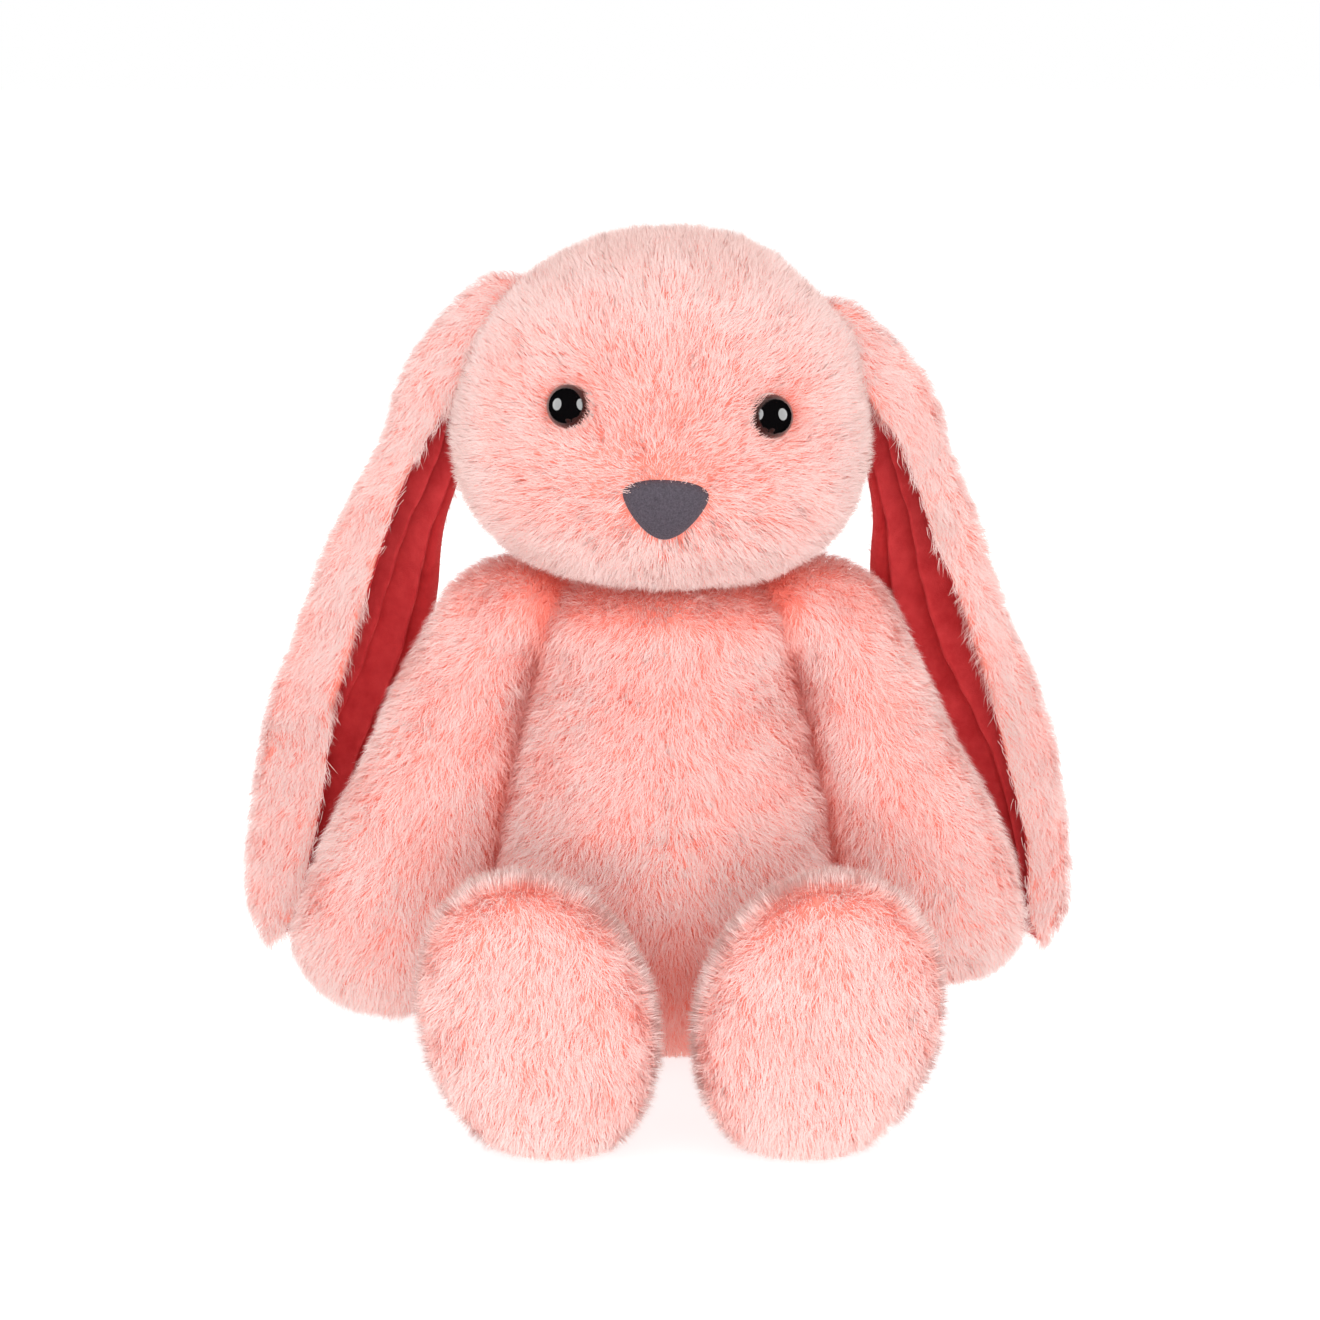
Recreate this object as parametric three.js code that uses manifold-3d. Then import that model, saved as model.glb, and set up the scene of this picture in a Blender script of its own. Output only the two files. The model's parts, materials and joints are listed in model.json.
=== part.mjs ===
// A seated plush rabbit with long lop ears: sewn fur panels over fibre filling, plastic eyes and a
// velvety nose. Millimetres, +Z up, the toy faces -Y, and its own left side is +X. The origin is the
// middle of the flat base that it sits on.
import * as THREE from "three";
import { mergeVertices } from "three/addons/utils/BufferGeometryUtils.js";
import Module from "manifold-3d";

const wasm = await Module();
wasm.setup();

// ---- driving dimensions ----
const CLOTH = 1.8; // fur fabric: backing and pressed-down pile
const GAP = 0.35; // between pieces that touch
const SEAM_GAP = 0.4; // between two sewn panels

const HEAD_CENTRE = new THREE.Vector3(-1.5, -5, 222);
const HEAD_ROLL = THREE.MathUtils.degToRad(3); // the head leans a little to its own left
const HEAD_HALF = { side: 71.5, front: 59, back: 56, up: 66, down: 55 };
const CROWN_ROUNDNESS = 2.1; // 2 is a plain ball; more is fuller
const CHEEK_ROUNDNESS = 2.6;
const MUZZLE = { swell: 6, height: -24, reach: 30 };
const FACE_SHIFT = 2.4; // the eyes and nose sit a little to the toy's left

const NECK = new THREE.Vector3(0, -2, 167); // centre of the neck's ball of filling
const NECK_RADIUS = 19;
const NECK_ROOM = 1.7; // round the ball, so that its flats turn freely

const SHOULDER = { x: 61, y: -4, z: 151.5, radius: 21, depth: 17, room: 1.3 };
const RIGHT_ARM_REACH = 1;
const LEFT_ARM_REACH = 0.91; // the left arm is held a little higher
const LEFT_ARM_HUG = 3.5; // and closer to the body

const HIP = { x: 36, y: -50, z: 27, radius: 20.5 };
const HIP_SOCKET = 24.5; // room in the body for the leg to fold
const FOOT_TILT = THREE.MathUtils.degToRad(-17); // the toes lean outwards
const RIGHT_FOOT_SPREAD = 5.5;
const LEFT_FOOT_SPREAD = 13;
const LEFT_FOOT_WIDTH = 1.04; // the left foot is turned a little more open

const EYE = { x: 32.6, z: 9.5, radius: 6.1, shank: 2.2, shankLength: 13 };
const WASHER = { radius: 9, thickness: 1.6, depth: 3.4 };
const NOSE = { halfWidth: 13.6, halfHeight: 9.8, proud: 4.6, height: -23 };

const EAR_CLOTH = 2.4;
const LINING = 1.1;
const EAR_FOLD = THREE.MathUtils.degToRad(20); // each half of the folded ear leans this far from the fold
const EAR_BEND = 5; // softness of the lengthwise fold

const TAIL = { y: 60, z: 44, radius: 17 };
const POUCH = { width: 34, depth: 27, height: 10, z: 14 };

const FUR = { color: 0xf6bcb4, roughness: 0.95, metalness: 0 };
const DEEP_FUR = { color: 0xf2a79d, roughness: 0.95, metalness: 0 };
const VELOUR = { color: 0xb3333c, roughness: 0.8, metalness: 0 };
const NOSE_CLOTH = { color: 0x65606a, roughness: 0.9, metalness: 0 };
const BLACK = { color: 0x08080a, roughness: 0.06, metalness: 0 };
const WASHER_PLASTIC = { color: 0xe9e9e6, roughness: 0.45, metalness: 0 };
const FILLING = { color: 0xf7f6f2, roughness: 1, metalness: 0 };
const CALICO = { color: 0xe8e2d4, roughness: 0.9, metalness: 0 };

// ---- solids ----
function welded(geometry) {
  const bare = new THREE.BufferGeometry().setAttribute("position", geometry.getAttribute("position"));
  bare.setIndex(geometry.index);
  return mergeVertices(bare, 1e-3);
}

function solid(geometry) {
  const g = welded(geometry);
  return new wasm.Manifold(
    new wasm.Mesh({
      numProp: 3,
      vertProperties: new Float32Array(g.attributes.position.array),
      triVerts: new Uint32Array(g.index.array),
    }),
  );
}

function geometryOf(manifold) {
  const mesh = manifold.getMesh();
  const g = new THREE.BufferGeometry();
  g.setAttribute("position", new THREE.BufferAttribute(new Float32Array(mesh.vertProperties), 3));
  g.setIndex(new THREE.BufferAttribute(new Uint32Array(mesh.triVerts), 1));
  g.computeVertexNormals();
  return g;
}

// The same surface moved outwards along its normals, or inwards where distance is negative.
function offset(geometry, distance) {
  const g = welded(geometry);
  g.computeVertexNormals();
  const p = g.attributes.position;
  const n = g.attributes.normal;
  for (let i = 0; i < p.count; i++) {
    p.setXYZ(i, p.getX(i) + n.getX(i) * distance, p.getY(i) + n.getY(i) * distance,
      p.getZ(i) + n.getZ(i) * distance);
  }
  return g;
}

function deform(geometry, move) {
  const p = geometry.attributes.position;
  const point = new THREE.Vector3();
  for (let i = 0; i < p.count; i++) {
    move(point.fromBufferAttribute(p, i));
    p.setXYZ(i, point.x, point.y, point.z);
  }
  return geometry;
}

function mirrored(geometry) {
  const g = welded(geometry).applyMatrix4(new THREE.Matrix4().makeScale(-1, 1, 1));
  const index = g.index.array;
  for (let i = 0; i < index.length; i += 3) [index[i + 1], index[i + 2]] = [index[i + 2], index[i + 1]];
  return g;
}

function ball(radius, centre, segments = 16, rows = 12) {
  return new THREE.SphereGeometry(radius, segments, rows).translate(centre.x, centre.y, centre.z);
}

function rod(radius, length, centre, axis, segments = 14) {
  const g = new THREE.CylinderGeometry(radius, radius, length, segments);
  const turn = new THREE.Quaternion().setFromUnitVectors(new THREE.Vector3(0, 1, 0), axis);
  return g.applyQuaternion(turn).translate(centre.x, centre.y, centre.z);
}

// A box between two corners; far stands for a side that is open.
const FAR = 400;
function block(low, high) {
  const size = high.map((h, i) => h - low[i]);
  return new THREE.BoxGeometry(...size).translate(...low.map((l, i) => l + size[i] / 2));
}

// A closed soft form through stations [x, y, z, half width, half depth, tilt]. Its rings lie across the
// fixed direction `along`, or across the path itself; half width is measured along `wide` in each ring.
function loft(stations, { wide, along, segments = 20, rows = 18 }) {
  const centres = new THREE.CatmullRomCurve3(stations.map(([x, y, z]) => new THREE.Vector3(x, y, z)));
  const sizes = new THREE.CatmullRomCurve3(
    stations.map(([, , , a, b, tilt = 0]) => new THREE.Vector3(a, b, tilt)));
  centres.curveType = sizes.curveType = "catmullrom";
  const g = new THREE.SphereGeometry(1, segments, rows);
  return deform(g, (p) => {
    const share = Math.acos(THREE.MathUtils.clamp(p.y, -1, 1)) / Math.PI;
    const centre = centres.getPoint(share);
    const { x: a, y: b, z: tilt } = sizes.getPoint(share);
    const tangent = along ? along.clone() : centres.getTangent(share);
    const deep = new THREE.Vector3().crossVectors(tangent, wide).normalize();
    const across = new THREE.Vector3().crossVectors(deep, tangent).normalize();
    const angle = Math.atan2(p.z, p.x);
    const onPole = Math.hypot(p.x, p.z) < 1e-6;
    const u = onPole ? 0 : Math.max(a, 0) * Math.cos(angle);
    const v = onPole ? 0 : Math.max(b, 0) * Math.sin(angle);
    p.copy(centre)
      .addScaledVector(across, u * Math.cos(tilt) - v * Math.sin(tilt))
      .addScaledVector(deep, u * Math.sin(tilt) + v * Math.cos(tilt));
  });
}

// ---- the scene graph ----
const X = new THREE.Vector3(1, 0, 0);
const Y = new THREE.Vector3(0, 1, 0);
const Z = new THREE.Vector3(0, 0, 1);
const rabbit = new THREE.Group();

function piece(parent, name, manifold, look) {
  const mesh = new THREE.Mesh(geometryOf(manifold), new THREE.MeshStandardMaterial(look));
  mesh.name = name;
  parent.add(mesh);
  return mesh;
}

// A cloth cover between a surface and the same surface moved in, and the filling inside it.
function coverOf(geometry, cloth = CLOTH) {
  return solid(geometry).subtract(solid(offset(geometry, -cloth)));
}

function fillingOf(geometry, cloth = CLOTH) {
  return solid(offset(geometry, -cloth - GAP));
}

// ---- head ----
const head = new THREE.Group();
head.position.copy(HEAD_CENTRE);
head.rotation.y = HEAD_ROLL;
rabbit.add(head);
rabbit.updateMatrixWorld(true);
const neckInHead = head.worldToLocal(NECK.clone());

function headSurface() {
  const g = new THREE.SphereGeometry(1, 20, 12).rotateX(Math.PI / 2);
  return deform(g, (p) => {
    const roundness = p.z > 0 ? CROWN_ROUNDNESS : CHEEK_ROUNDNESS;
    const flat = Math.hypot(p.x, p.y);
    const wide = flat > 1e-6 ? (1 - Math.abs(p.z) ** roundness) ** (1 / roundness) / flat : 0;
    const x = p.x * wide * HEAD_HALF.side;
    const y = p.y * wide * (p.y < 0 ? HEAD_HALF.front : HEAD_HALF.back);
    const z = p.z * (p.z > 0 ? HEAD_HALF.up : HEAD_HALF.down);
    const muzzle = p.y < 0
      ? Math.exp(-(x ** 2 + (z - MUZZLE.height) ** 2) / MUZZLE.reach ** 2) * MUZZLE.swell * -p.y
      : 0;
    p.set(x, y - muzzle, z);
  });
}

// The point of the head's front at a place seen from the front, with its outward direction.
function onFace(x, z) {
  const ray = new THREE.Raycaster(new THREE.Vector3(x, -FAR, z), Y);
  const surface = headSurface();
  surface.computeVertexNormals();
  const [hit] = ray.intersectObject(new THREE.Mesh(surface));
  return { point: hit.point, out: hit.face.normal.clone() };
}

const headSkin = headSurface();
const neckHole = solid(ball(NECK_RADIUS + NECK_ROOM, neckInHead));
let headCover = coverOf(headSkin).subtract(neckHole);
let headFilling = fillingOf(headSkin).subtract(neckHole);

function makeEye(side, name) {
  const { point, out } = onFace(FACE_SHIFT + side * EYE.x, EYE.z);
  const at = (depth) => point.clone().addScaledVector(out, depth);
  const shankMiddle = at(-EYE.shankLength / 2 + 1);
  headCover = headCover.subtract(solid(rod(EYE.shank + 0.3, 30, point, out)));
  headCover = headCover.subtract(solid(ball(EYE.radius + GAP, at(EYE.radius * 0.18 + 1), 14, 8)));
  const washerRoom = (length, middle) => solid(rod(WASHER.radius + GAP, length, at(middle), out));
  headCover = headCover.subtract(washerRoom(WASHER.thickness + 2 * GAP, -WASHER.depth));
  headFilling = headFilling
    .subtract(washerRoom(WASHER.thickness + 2 * GAP + 3, 1.5 - WASHER.depth))
    .subtract(solid(rod(EYE.shank + GAP, EYE.shankLength + 2, at(-EYE.shankLength / 2), out)))
    .subtract(solid(ball(EYE.radius + 1, at(EYE.radius * 0.18 + 1), 14, 8)));
  const dome = solid(ball(EYE.radius, at(EYE.radius * 0.18 + 1), 14, 8))
    .subtract(solid(rod(EYE.radius * 2, 10, at(-5 - 0.6), out)));
  const shank = solid(rod(EYE.shank, EYE.shankLength, shankMiddle, out, 10));
  piece(head, `eye_${name}`, dome.add(shank), BLACK);
  const washer = solid(rod(WASHER.radius, WASHER.thickness, at(-WASHER.depth), out))
    .subtract(solid(rod(EYE.shank + 0.3, 8, at(-WASHER.depth), out, 10)));
  piece(head, `eye_washer_${name}`, washer, WASHER_PLASTIC);
}
makeEye(1, "left");
makeEye(-1, "right");

// The nose is a rounded triangle of velvety cloth over a pad of wadding, sewn on to the muzzle.
function noseSurface(shrink) {
  const { point } = onFace(FACE_SHIFT, NOSE.height);
  const g = new THREE.SphereGeometry(1, 16, 8).rotateX(Math.PI / 2);
  return deform(g, (p) => {
    const low = THREE.MathUtils.clamp(0.5 - 0.5 * p.z, 0, 1); // 1 at the point below, 0 at the top edge
    const narrow = 1 - 0.42 * low * low;
    const drop = p.z < 0 ? 1.12 : 0.84;
    p.set(
      point.x + p.x * (NOSE.halfWidth - shrink) * narrow * 1.12,
      point.y + p.y * (NOSE.proud + 2 - shrink),
      point.z + p.z * (NOSE.halfHeight - shrink) * drop + 1,
    );
  });
}
const beyondHead = solid(offset(headSkin, GAP));
piece(head, "nose_patch",
  solid(noseSurface(0)).subtract(solid(noseSurface(1.1))).subtract(beyondHead), NOSE_CLOTH);
piece(head, "nose_padding", solid(noseSurface(1.1 + GAP)).subtract(beyondHead), FILLING);

piece(head, "head_front_panel", headCover.intersect(solid(block([-FAR, -FAR, -FAR], [FAR, 4, FAR]))), FUR);
piece(head, "head_back_panel",
  headCover.intersect(solid(block([-FAR, 4 + SEAM_GAP, -FAR], [FAR, FAR, FAR]))), FUR);
piece(head, "head_filling", headFilling, FILLING);

// ---- neck: a firm ball of filling that the head turns and nods on ----
piece(rabbit, "neck_filling", solid(ball(NECK_RADIUS, NECK)), FILLING);

// ---- legs ----
function legStations(spread, width) {
  const { x, y, z, radius } = HIP;
  return [
    [x, y + radius, z, 0, 0],
    [x, y + radius * 0.87, z, radius * 0.5, radius * 0.5],
    [x, y + radius * 0.5, z, radius * 0.87, radius * 0.87],
    [x, y, z, radius, radius],
    [x + spread * 0.1, -70, 27.5, 22, 23],
    [x + spread * 0.4, -88, 33, 25, 29.5],
    [x + spread * 0.7, -104, 40, 29.5 * width, 38, FOOT_TILT],
    [x + spread * 0.9, -118, 43.5, 33.5 * width, 45, FOOT_TILT],
    [x + spread, -132, 44.5, 36 * width, 48.5, FOOT_TILT],
    [x + spread, -141, 45, 35 * width, 47.5, FOOT_TILT],
    [x + spread, -146.5, 45, 29 * width, 41, FOOT_TILT],
    [x + spread, -149, 45, 17 * width, 26, FOOT_TILT],
    [x + spread, -149.8, 45, 0, 0, FOOT_TILT],
  ];
}
const above = (z) => solid(block([-FAR, -FAR, z], [FAR, FAR, FAR]));
const SOLE_SEAM = -138; // the sole panel starts here, at the front rim of the foot

function makeLeg(flip, name, spread, width) {
  const leg = loft(legStations(spread, width), { wide: X, along: new THREE.Vector3(0, -1, 0), segments: 16, rows: 13 });
  const skin = flip ? mirrored(leg) : leg;
  const inside = solid(offset(skin, -CLOTH)).intersect(above(CLOTH));
  const cover = solid(skin).intersect(above(0)).subtract(inside);
  const group = new THREE.Group();
  rabbit.add(group);
  piece(group, `leg_${name}_panel`,
    cover.intersect(solid(block([-FAR, SOLE_SEAM, -FAR], [FAR, FAR, FAR]))), FUR);
  piece(group, `foot_${name}_sole`,
    cover.intersect(solid(block([-FAR, -FAR, -FAR], [FAR, SOLE_SEAM - SEAM_GAP, FAR]))), FUR);
  piece(group, `leg_${name}_filling`,
    fillingOf(skin).intersect(above(CLOTH + GAP)), FILLING);
}
makeLeg(false, "left", LEFT_FOOT_SPREAD, LEFT_FOOT_WIDTH);
makeLeg(true, "right", RIGHT_FOOT_SPREAD, 1);

// ---- body ----
function shoulderBalls(room) {
  const { x, y, z, radius, depth } = SHOULDER;
  return [-1, 1].map((side) => solid(ball(1, new THREE.Vector3(), 14, 10)
    .scale(radius + room, depth + room, radius + room)
    .translate(side * x, y, z)));
}
const bodyStations = [
  [0, 2, -4, 0, 0],
  [0, 2, -3.5, 21, 16.5],
  [0, 2, 0, 40, 32],
  [0, 1, 9, 52, 42.5],
  [0, -1, 26, 58.5, 49.5],
  [0, -2, 50, 60, 51.5],
  [0, -2, 76, 57, 50.5],
  [0, -2, 100, 52.5, 47],
  [0, -2, 124, 47.5, 42.5],
  [0, -2, 142, 43.5, 37.5],
  [0, -2, 153, 39.5, 33],
  [0, -2, 158.5, 31, 26.5],
  [0, -2, 161.5, 20, 18],
  [0, -2, 162.5, 0, 0],
];
const bodySkin = loft(bodyStations, { wide: X, along: Z, segments: 18, rows: 13 });
const neckRoom = solid(ball(NECK_RADIUS + NECK_ROOM, NECK));
const openBody = (whole) => without(whole, [...hipBalls(HIP_SOCKET), ...shoulderBalls(SHOULDER.room), neckRoom]);
// Where the cover dips into a hip or shoulder socket it follows the socket's wall.
const hipBalls = (radius) => [-1, 1]
  .map((side) => solid(ball(radius, new THREE.Vector3(side * HIP.x, HIP.y, HIP.z), 20, 14)));
const without = (whole, parts) => parts.reduce((rest, part) => rest.subtract(part), whole);
const bodyOuter = solid(bodySkin);
const bodyInner = without(
  solid(offset(bodySkin, -CLOTH)),
  [...hipBalls(HIP_SOCKET + CLOTH), ...shoulderBalls(SHOULDER.room + CLOTH)],
);
const bodyCover = openBody(bodyOuter.subtract(bodyInner))
  .intersect(above(CLOTH + GAP));
const basePanel = openBody(bodyOuter).intersect(solid(block([-FAR, -FAR, 0], [FAR, FAR, CLOTH])));

const pouchShape = ball(1, new THREE.Vector3(), 14, 8).scale(POUCH.width, POUCH.depth, POUCH.height)
  .translate(0, 4, POUCH.z);
const pouchRoom = solid(offset(pouchShape, GAP))
  .add(solid(rod(POUCH.depth * 0.6, POUCH.z, new THREE.Vector3(0, 4, POUCH.z / 2), Z)));
const bodyFilling = without(
  solid(offset(bodySkin, -CLOTH - GAP)),
  [neckRoom, pouchRoom, ...hipBalls(HIP_SOCKET + CLOTH + GAP), ...shoulderBalls(SHOULDER.room + CLOTH + GAP)],
).intersect(above(CLOTH + 2 * GAP));

const half = SEAM_GAP / 2;
const SIDE_SEAM = -2; // the front and back of the body meet here
const quarters = {
  body_front_left_panel: block([half, -FAR, -FAR], [FAR, SIDE_SEAM - half, FAR]),
  body_front_right_panel: block([-FAR, -FAR, -FAR], [-half, SIDE_SEAM - half, FAR]),
  body_back_left_panel: block([half, SIDE_SEAM + half, -FAR], [FAR, FAR, FAR]),
  body_back_right_panel: block([-FAR, SIDE_SEAM + half, -FAR], [-half, FAR, FAR]),
};
for (const [name, quarter] of Object.entries(quarters)) {
  piece(rabbit, name, bodyCover.intersect(solid(quarter)), DEEP_FUR);
}
piece(rabbit, "body_base_panel", basePanel, DEEP_FUR);
piece(rabbit, "body_filling", bodyFilling, FILLING);
piece(rabbit, "bean_pouch", solid(pouchShape), CALICO);

// ---- tail and the blank sewn-in label ----
const beyondBody = solid(offset(bodySkin, GAP));
const tailSkin = ball(TAIL.radius, new THREE.Vector3(0, TAIL.y, TAIL.z), 14, 10);
piece(rabbit, "tail_panel", coverOf(tailSkin).subtract(beyondBody), FUR);
piece(rabbit, "tail_filling", fillingOf(tailSkin).subtract(beyondBody), FILLING);

// ---- arms ----
const armStations = [
  [72, 133, 20.5, 17.5],
  [80.5, 112, 20.8, 18.5],
  [88, 90, 23.3, 19.5],
  [94.5, 66, 28.5, 20],
  [98, 46, 31.5, 20],
  [98, 29, 28, 18],
  [95.5, 17, 19.5, 13],
  [93.5, 7.5, 0, 0],
];

function makeArm(flip, name, reach, hug) {
  const { x: rootX, y: rootY, z: rootZ, radius, depth } = SHOULDER;
  const down = new THREE.Vector2(armStations[0][0] - rootX, armStations[0][1] - rootZ).normalize();
  const roundRoot = [[1, 0], [0.87, 0.5], [0.5, 0.87], [0, 1]].map(([back, size]) =>
    [rootX - down.x * radius * back, rootY, rootZ - down.y * radius * back, depth * size, radius * size]);
  const rest = armStations.map(([x, z, a, b]) => {
    const fall = (rootZ - z) * reach;
    return [x - hug * Math.min(1, fall / 30), rootY - 3 * Math.min(1, fall / 100), rootZ - fall, b, a];
  });
  const stations = [...roundRoot, ...rest];
  const arm = loft(stations, { wide: Y, segments: 14, rows: 13 });
  const skin = flip ? mirrored(arm) : arm;
  const cover = coverOf(skin);
  const group = new THREE.Group();
  rabbit.add(group);
  const seam = SHOULDER.y - 2;
  piece(group, `arm_${name}_front_panel`,
    cover.intersect(solid(block([-FAR, -FAR, -FAR], [FAR, seam - half, FAR]))), FUR);
  piece(group, `arm_${name}_back_panel`,
    cover.intersect(solid(block([-FAR, seam + half, -FAR], [FAR, FAR, FAR]))), FUR);
  piece(group, `arm_${name}_filling`, fillingOf(skin), FILLING);
}
makeArm(false, "left", LEFT_ARM_REACH, LEFT_ARM_HUG);
makeArm(true, "right", RIGHT_ARM_REACH, 0);

// ---- ears: a fur panel and a velour lining, folded lengthwise and hanging from the head's side ----
// Stations down the ear's outer fold: x outwards, y back, z up, then the width of the half in front of
// the fold and of the half behind it. The left ear starts lower on the leaning head.
const rightEarStations = [
  [50.5, -3, 274.5, 8, 8],
  [60.5, -3, 269.5, 14, 14],
  [73.5, -2, 259.5, 20, 20],
  [84, 0, 246.5, 22.5, 25],
  [91, 4, 232, 18.5, 29],
  [98.5, 12, 212, 14.5, 32],
  [110, 23, 190, 17, 36],
  [121.5, 31, 167, 21, 45],
  [133, 37, 138, 24.5, 51],
  [141.5, 38, 115, 25, 51],
  [148, 38, 86, 27.5, 48],
  [152, 38, 60, 26, 41],
  [152, 37, 42, 21, 32],
  [147, 36, 29, 10, 15],
];
const leftEarStations = [
  [54.5, -3, 266, 8, 8],
  [63, -3, 260.5, 14, 14],
  [75.5, -2, 250.5, 20, 20],
  [86, 0, 239, 22.5, 25],
  [93, 5, 225.5, 18.5, 29],
  [98, 12, 211, 16.5, 32],
  [106, 22, 190, 17, 36],
  [114, 30, 168, 16, 45],
  [123.5, 37, 143, 17.5, 51],
  [132.5, 38, 121, 18.5, 51],
  [141, 38, 94, 19.5, 48],
  [146, 38, 64, 17, 41],
  [146.5, 37, 42, 14.5, 32],
  [140, 36, 28, 9, 15],
];

// A sheet that follows the folded ear, between two distances from its middle surface.
function earSheet(stations, outer, inner, trim, across = 8, along = 13) {
  const g = new THREE.BoxGeometry(2, 1, 1, across, 1, along);
  const earSpine = new THREE.CatmullRomCurve3(stations.map(([x, y, z]) => new THREE.Vector3(x, y, z)));
  const earWidths = new THREE.CatmullRomCurve3(stations.map(([, , , a, b]) => new THREE.Vector3(a, b, 0)));
  earSpine.curveType = earWidths.curveType = "catmullrom";
  return deform(g, (p) => {
    const share = 0.5 - p.z;
    const { x: front, y: back } = earWidths.getPoint(share);
    const spread = Math.sign(p.x) * Math.abs(p.x) ** 1.6; // closer together round the fold
    const w = spread * ((p.x < 0 ? front : back) - trim);
    const distance = p.y > 0 ? inner : outer;
    const spine = earSpine.getPoint(share);
    const tangent = earSpine.getTangent(share);
    const rear = Y.clone().addScaledVector(tangent, -tangent.y).normalize();
    const inward = new THREE.Vector3().crossVectors(rear, tangent).normalize();
    const tanh = Math.tanh(w / EAR_BEND);
    const depth = Math.cos(EAR_FOLD) * (Math.hypot(w, EAR_BEND) - EAR_BEND);
    const run = w * Math.sin(EAR_FOLD) + (1 - Math.sin(EAR_FOLD)) * EAR_BEND * tanh;
    const slopeIn = (Math.cos(EAR_FOLD) * w) / Math.hypot(w, EAR_BEND);
    const slopeRun = Math.sin(EAR_FOLD) + (1 - Math.sin(EAR_FOLD)) * (1 - tanh * tanh);
    const normal = new THREE.Vector3()
      .addScaledVector(rear, slopeIn)
      .addScaledVector(inward, -slopeRun)
      .normalize(); // points out of the fold
    p.copy(spine)
      .addScaledVector(inward, depth)
      .addScaledVector(rear, run)
      .addScaledVector(normal, distance);
  });
}

const headInWorld = solid(headSurface().applyMatrix4(head.matrixWorld));
const beyondHeadInWorld = solid(offset(headSurface(), 1).applyMatrix4(head.matrixWorld));
function makeEar(flip, name, stations) {
  const facing = (g) => solid(flip ? mirrored(g) : g);
  const group = new THREE.Group();
  rabbit.add(group);
  const largest = (s) => s.decompose().sort((a, b) => b.volume() - a.volume())[0];
  piece(group, `ear_${name}_fur_panel`,
    largest(facing(earSheet(stations, EAR_CLOTH / 2, -EAR_CLOTH / 2, 0)).subtract(beyondHeadInWorld)), FUR);
  const face = -EAR_CLOTH / 2 - 2 * GAP;
  piece(group, `ear_${name}_lining`,
    largest(facing(earSheet(stations, face, face - LINING, 1.5)).subtract(beyondHeadInWorld)), VELOUR);
}
makeEar(false, "left", leftEarStations);
makeEar(true, "right", rightEarStations);

export default rabbit;
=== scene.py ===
# A seated plush rabbit with long lop ears: stuffed fur covers with a standing pile made of fine strands,
# velour ear linings, a brushed nose and glossy eyes. Metres; the toy faces -Y.
import math

import bmesh
import bpy
import numpy as np
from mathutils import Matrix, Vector
from mathutils.bvhtree import BVHTree
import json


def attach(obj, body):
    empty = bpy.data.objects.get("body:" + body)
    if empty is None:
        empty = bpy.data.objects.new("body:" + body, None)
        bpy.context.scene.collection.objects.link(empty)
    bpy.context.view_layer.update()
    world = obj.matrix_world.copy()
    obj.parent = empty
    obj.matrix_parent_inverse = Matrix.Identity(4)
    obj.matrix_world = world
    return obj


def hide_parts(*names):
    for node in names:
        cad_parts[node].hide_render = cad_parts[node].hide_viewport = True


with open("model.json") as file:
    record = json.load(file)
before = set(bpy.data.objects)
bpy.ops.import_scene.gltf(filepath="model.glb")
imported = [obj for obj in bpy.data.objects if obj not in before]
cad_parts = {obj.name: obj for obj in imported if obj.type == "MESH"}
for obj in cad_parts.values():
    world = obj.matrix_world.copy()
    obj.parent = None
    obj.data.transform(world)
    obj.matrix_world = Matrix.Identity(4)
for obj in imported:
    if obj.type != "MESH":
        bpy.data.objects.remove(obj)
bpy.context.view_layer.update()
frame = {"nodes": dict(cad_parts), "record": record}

# ---- dimensions, in millimetres unless said otherwise ----
MM = 0.001
VOXEL = 3.6
PUFF_CAP = 2.6  # the furthest that a cover's point may swell
PRESSURE = 4
CLOTH_QUALITY = 4
CLOTH_FRAMES = 20
COVER_THICKNESS = 1.4
COVER_OUT = 1.6  # from the filling's face to the cover's face, before the cloth swells
# Ellipsoids that fill the hollows of the CAD's fillings: middle and half sizes.
HEAD_PLUGS = [((-1.5, -5, 222), (50, 40, 40))]
BODY_PLUGS = [((0, 4, 16), (36, 29, 13)), ((0, -5, 151), (46, 33, 17))]
ARM_PLUG = ((51, -5, 158), (19, 19, 15))  # the left arm's, which is mirrored for the right

HEAD_SEAM_Y = 4
ARM_SEAM_Y = -6
BODY_SEAM_Y = -2
SOLE_SEAM_Y = -138
SEAM_DEPTH = 1.0
SEAM_WIDTH = 2.2
BASE_TOP = 2.4  # the base panel reaches this far up
HAND_FULLNESS = 6
ARM_SQUEEZE = {"left": 8, "right": 11}  # how far each arm's inner side is moved onto the body

PILE_LENGTH = 6.8
NECK_PILE_LENGTH = 6
STRAND_WIDTH = 0.18
STRAND_TAPER = 0.85  # its width half way up, as a share of the width at its root
STRAND_POINTS = 5
STRAND_CORNERS = 7
STRANDS_PER_TUFT = 8
TUFT_SPREAD = 1.05
ROOT_DEPTH = 0.4  # each strand starts this far inside the cover
LOWEST = 0.4  # no strand reaches nearer the ground
DENSITY = 3.3  # strands on each square millimetre
LARGEST_PILE = 64000  # strands in one piece
TUFTS_DRAWN = 3.2  # for each that is wanted, so that the thinned ones stand evenly
TUFT_CELL = 1.12  # the thinning's cell, as a share of the wanted distance between tufts
TONE_DRIFT = 0.42
TUFT_TONE_NOISE = 0.2
STRAND_TONE_NOISE = 0.34
SEEDS = {"head": 11, "body": 23, "tail": 31, "neck": 37, "arm": 41, "leg": 51, "ear": 61}
CELL_HASH = (73856093, 19349663, 83492791)  # large primes, which number the cells of space
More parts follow.
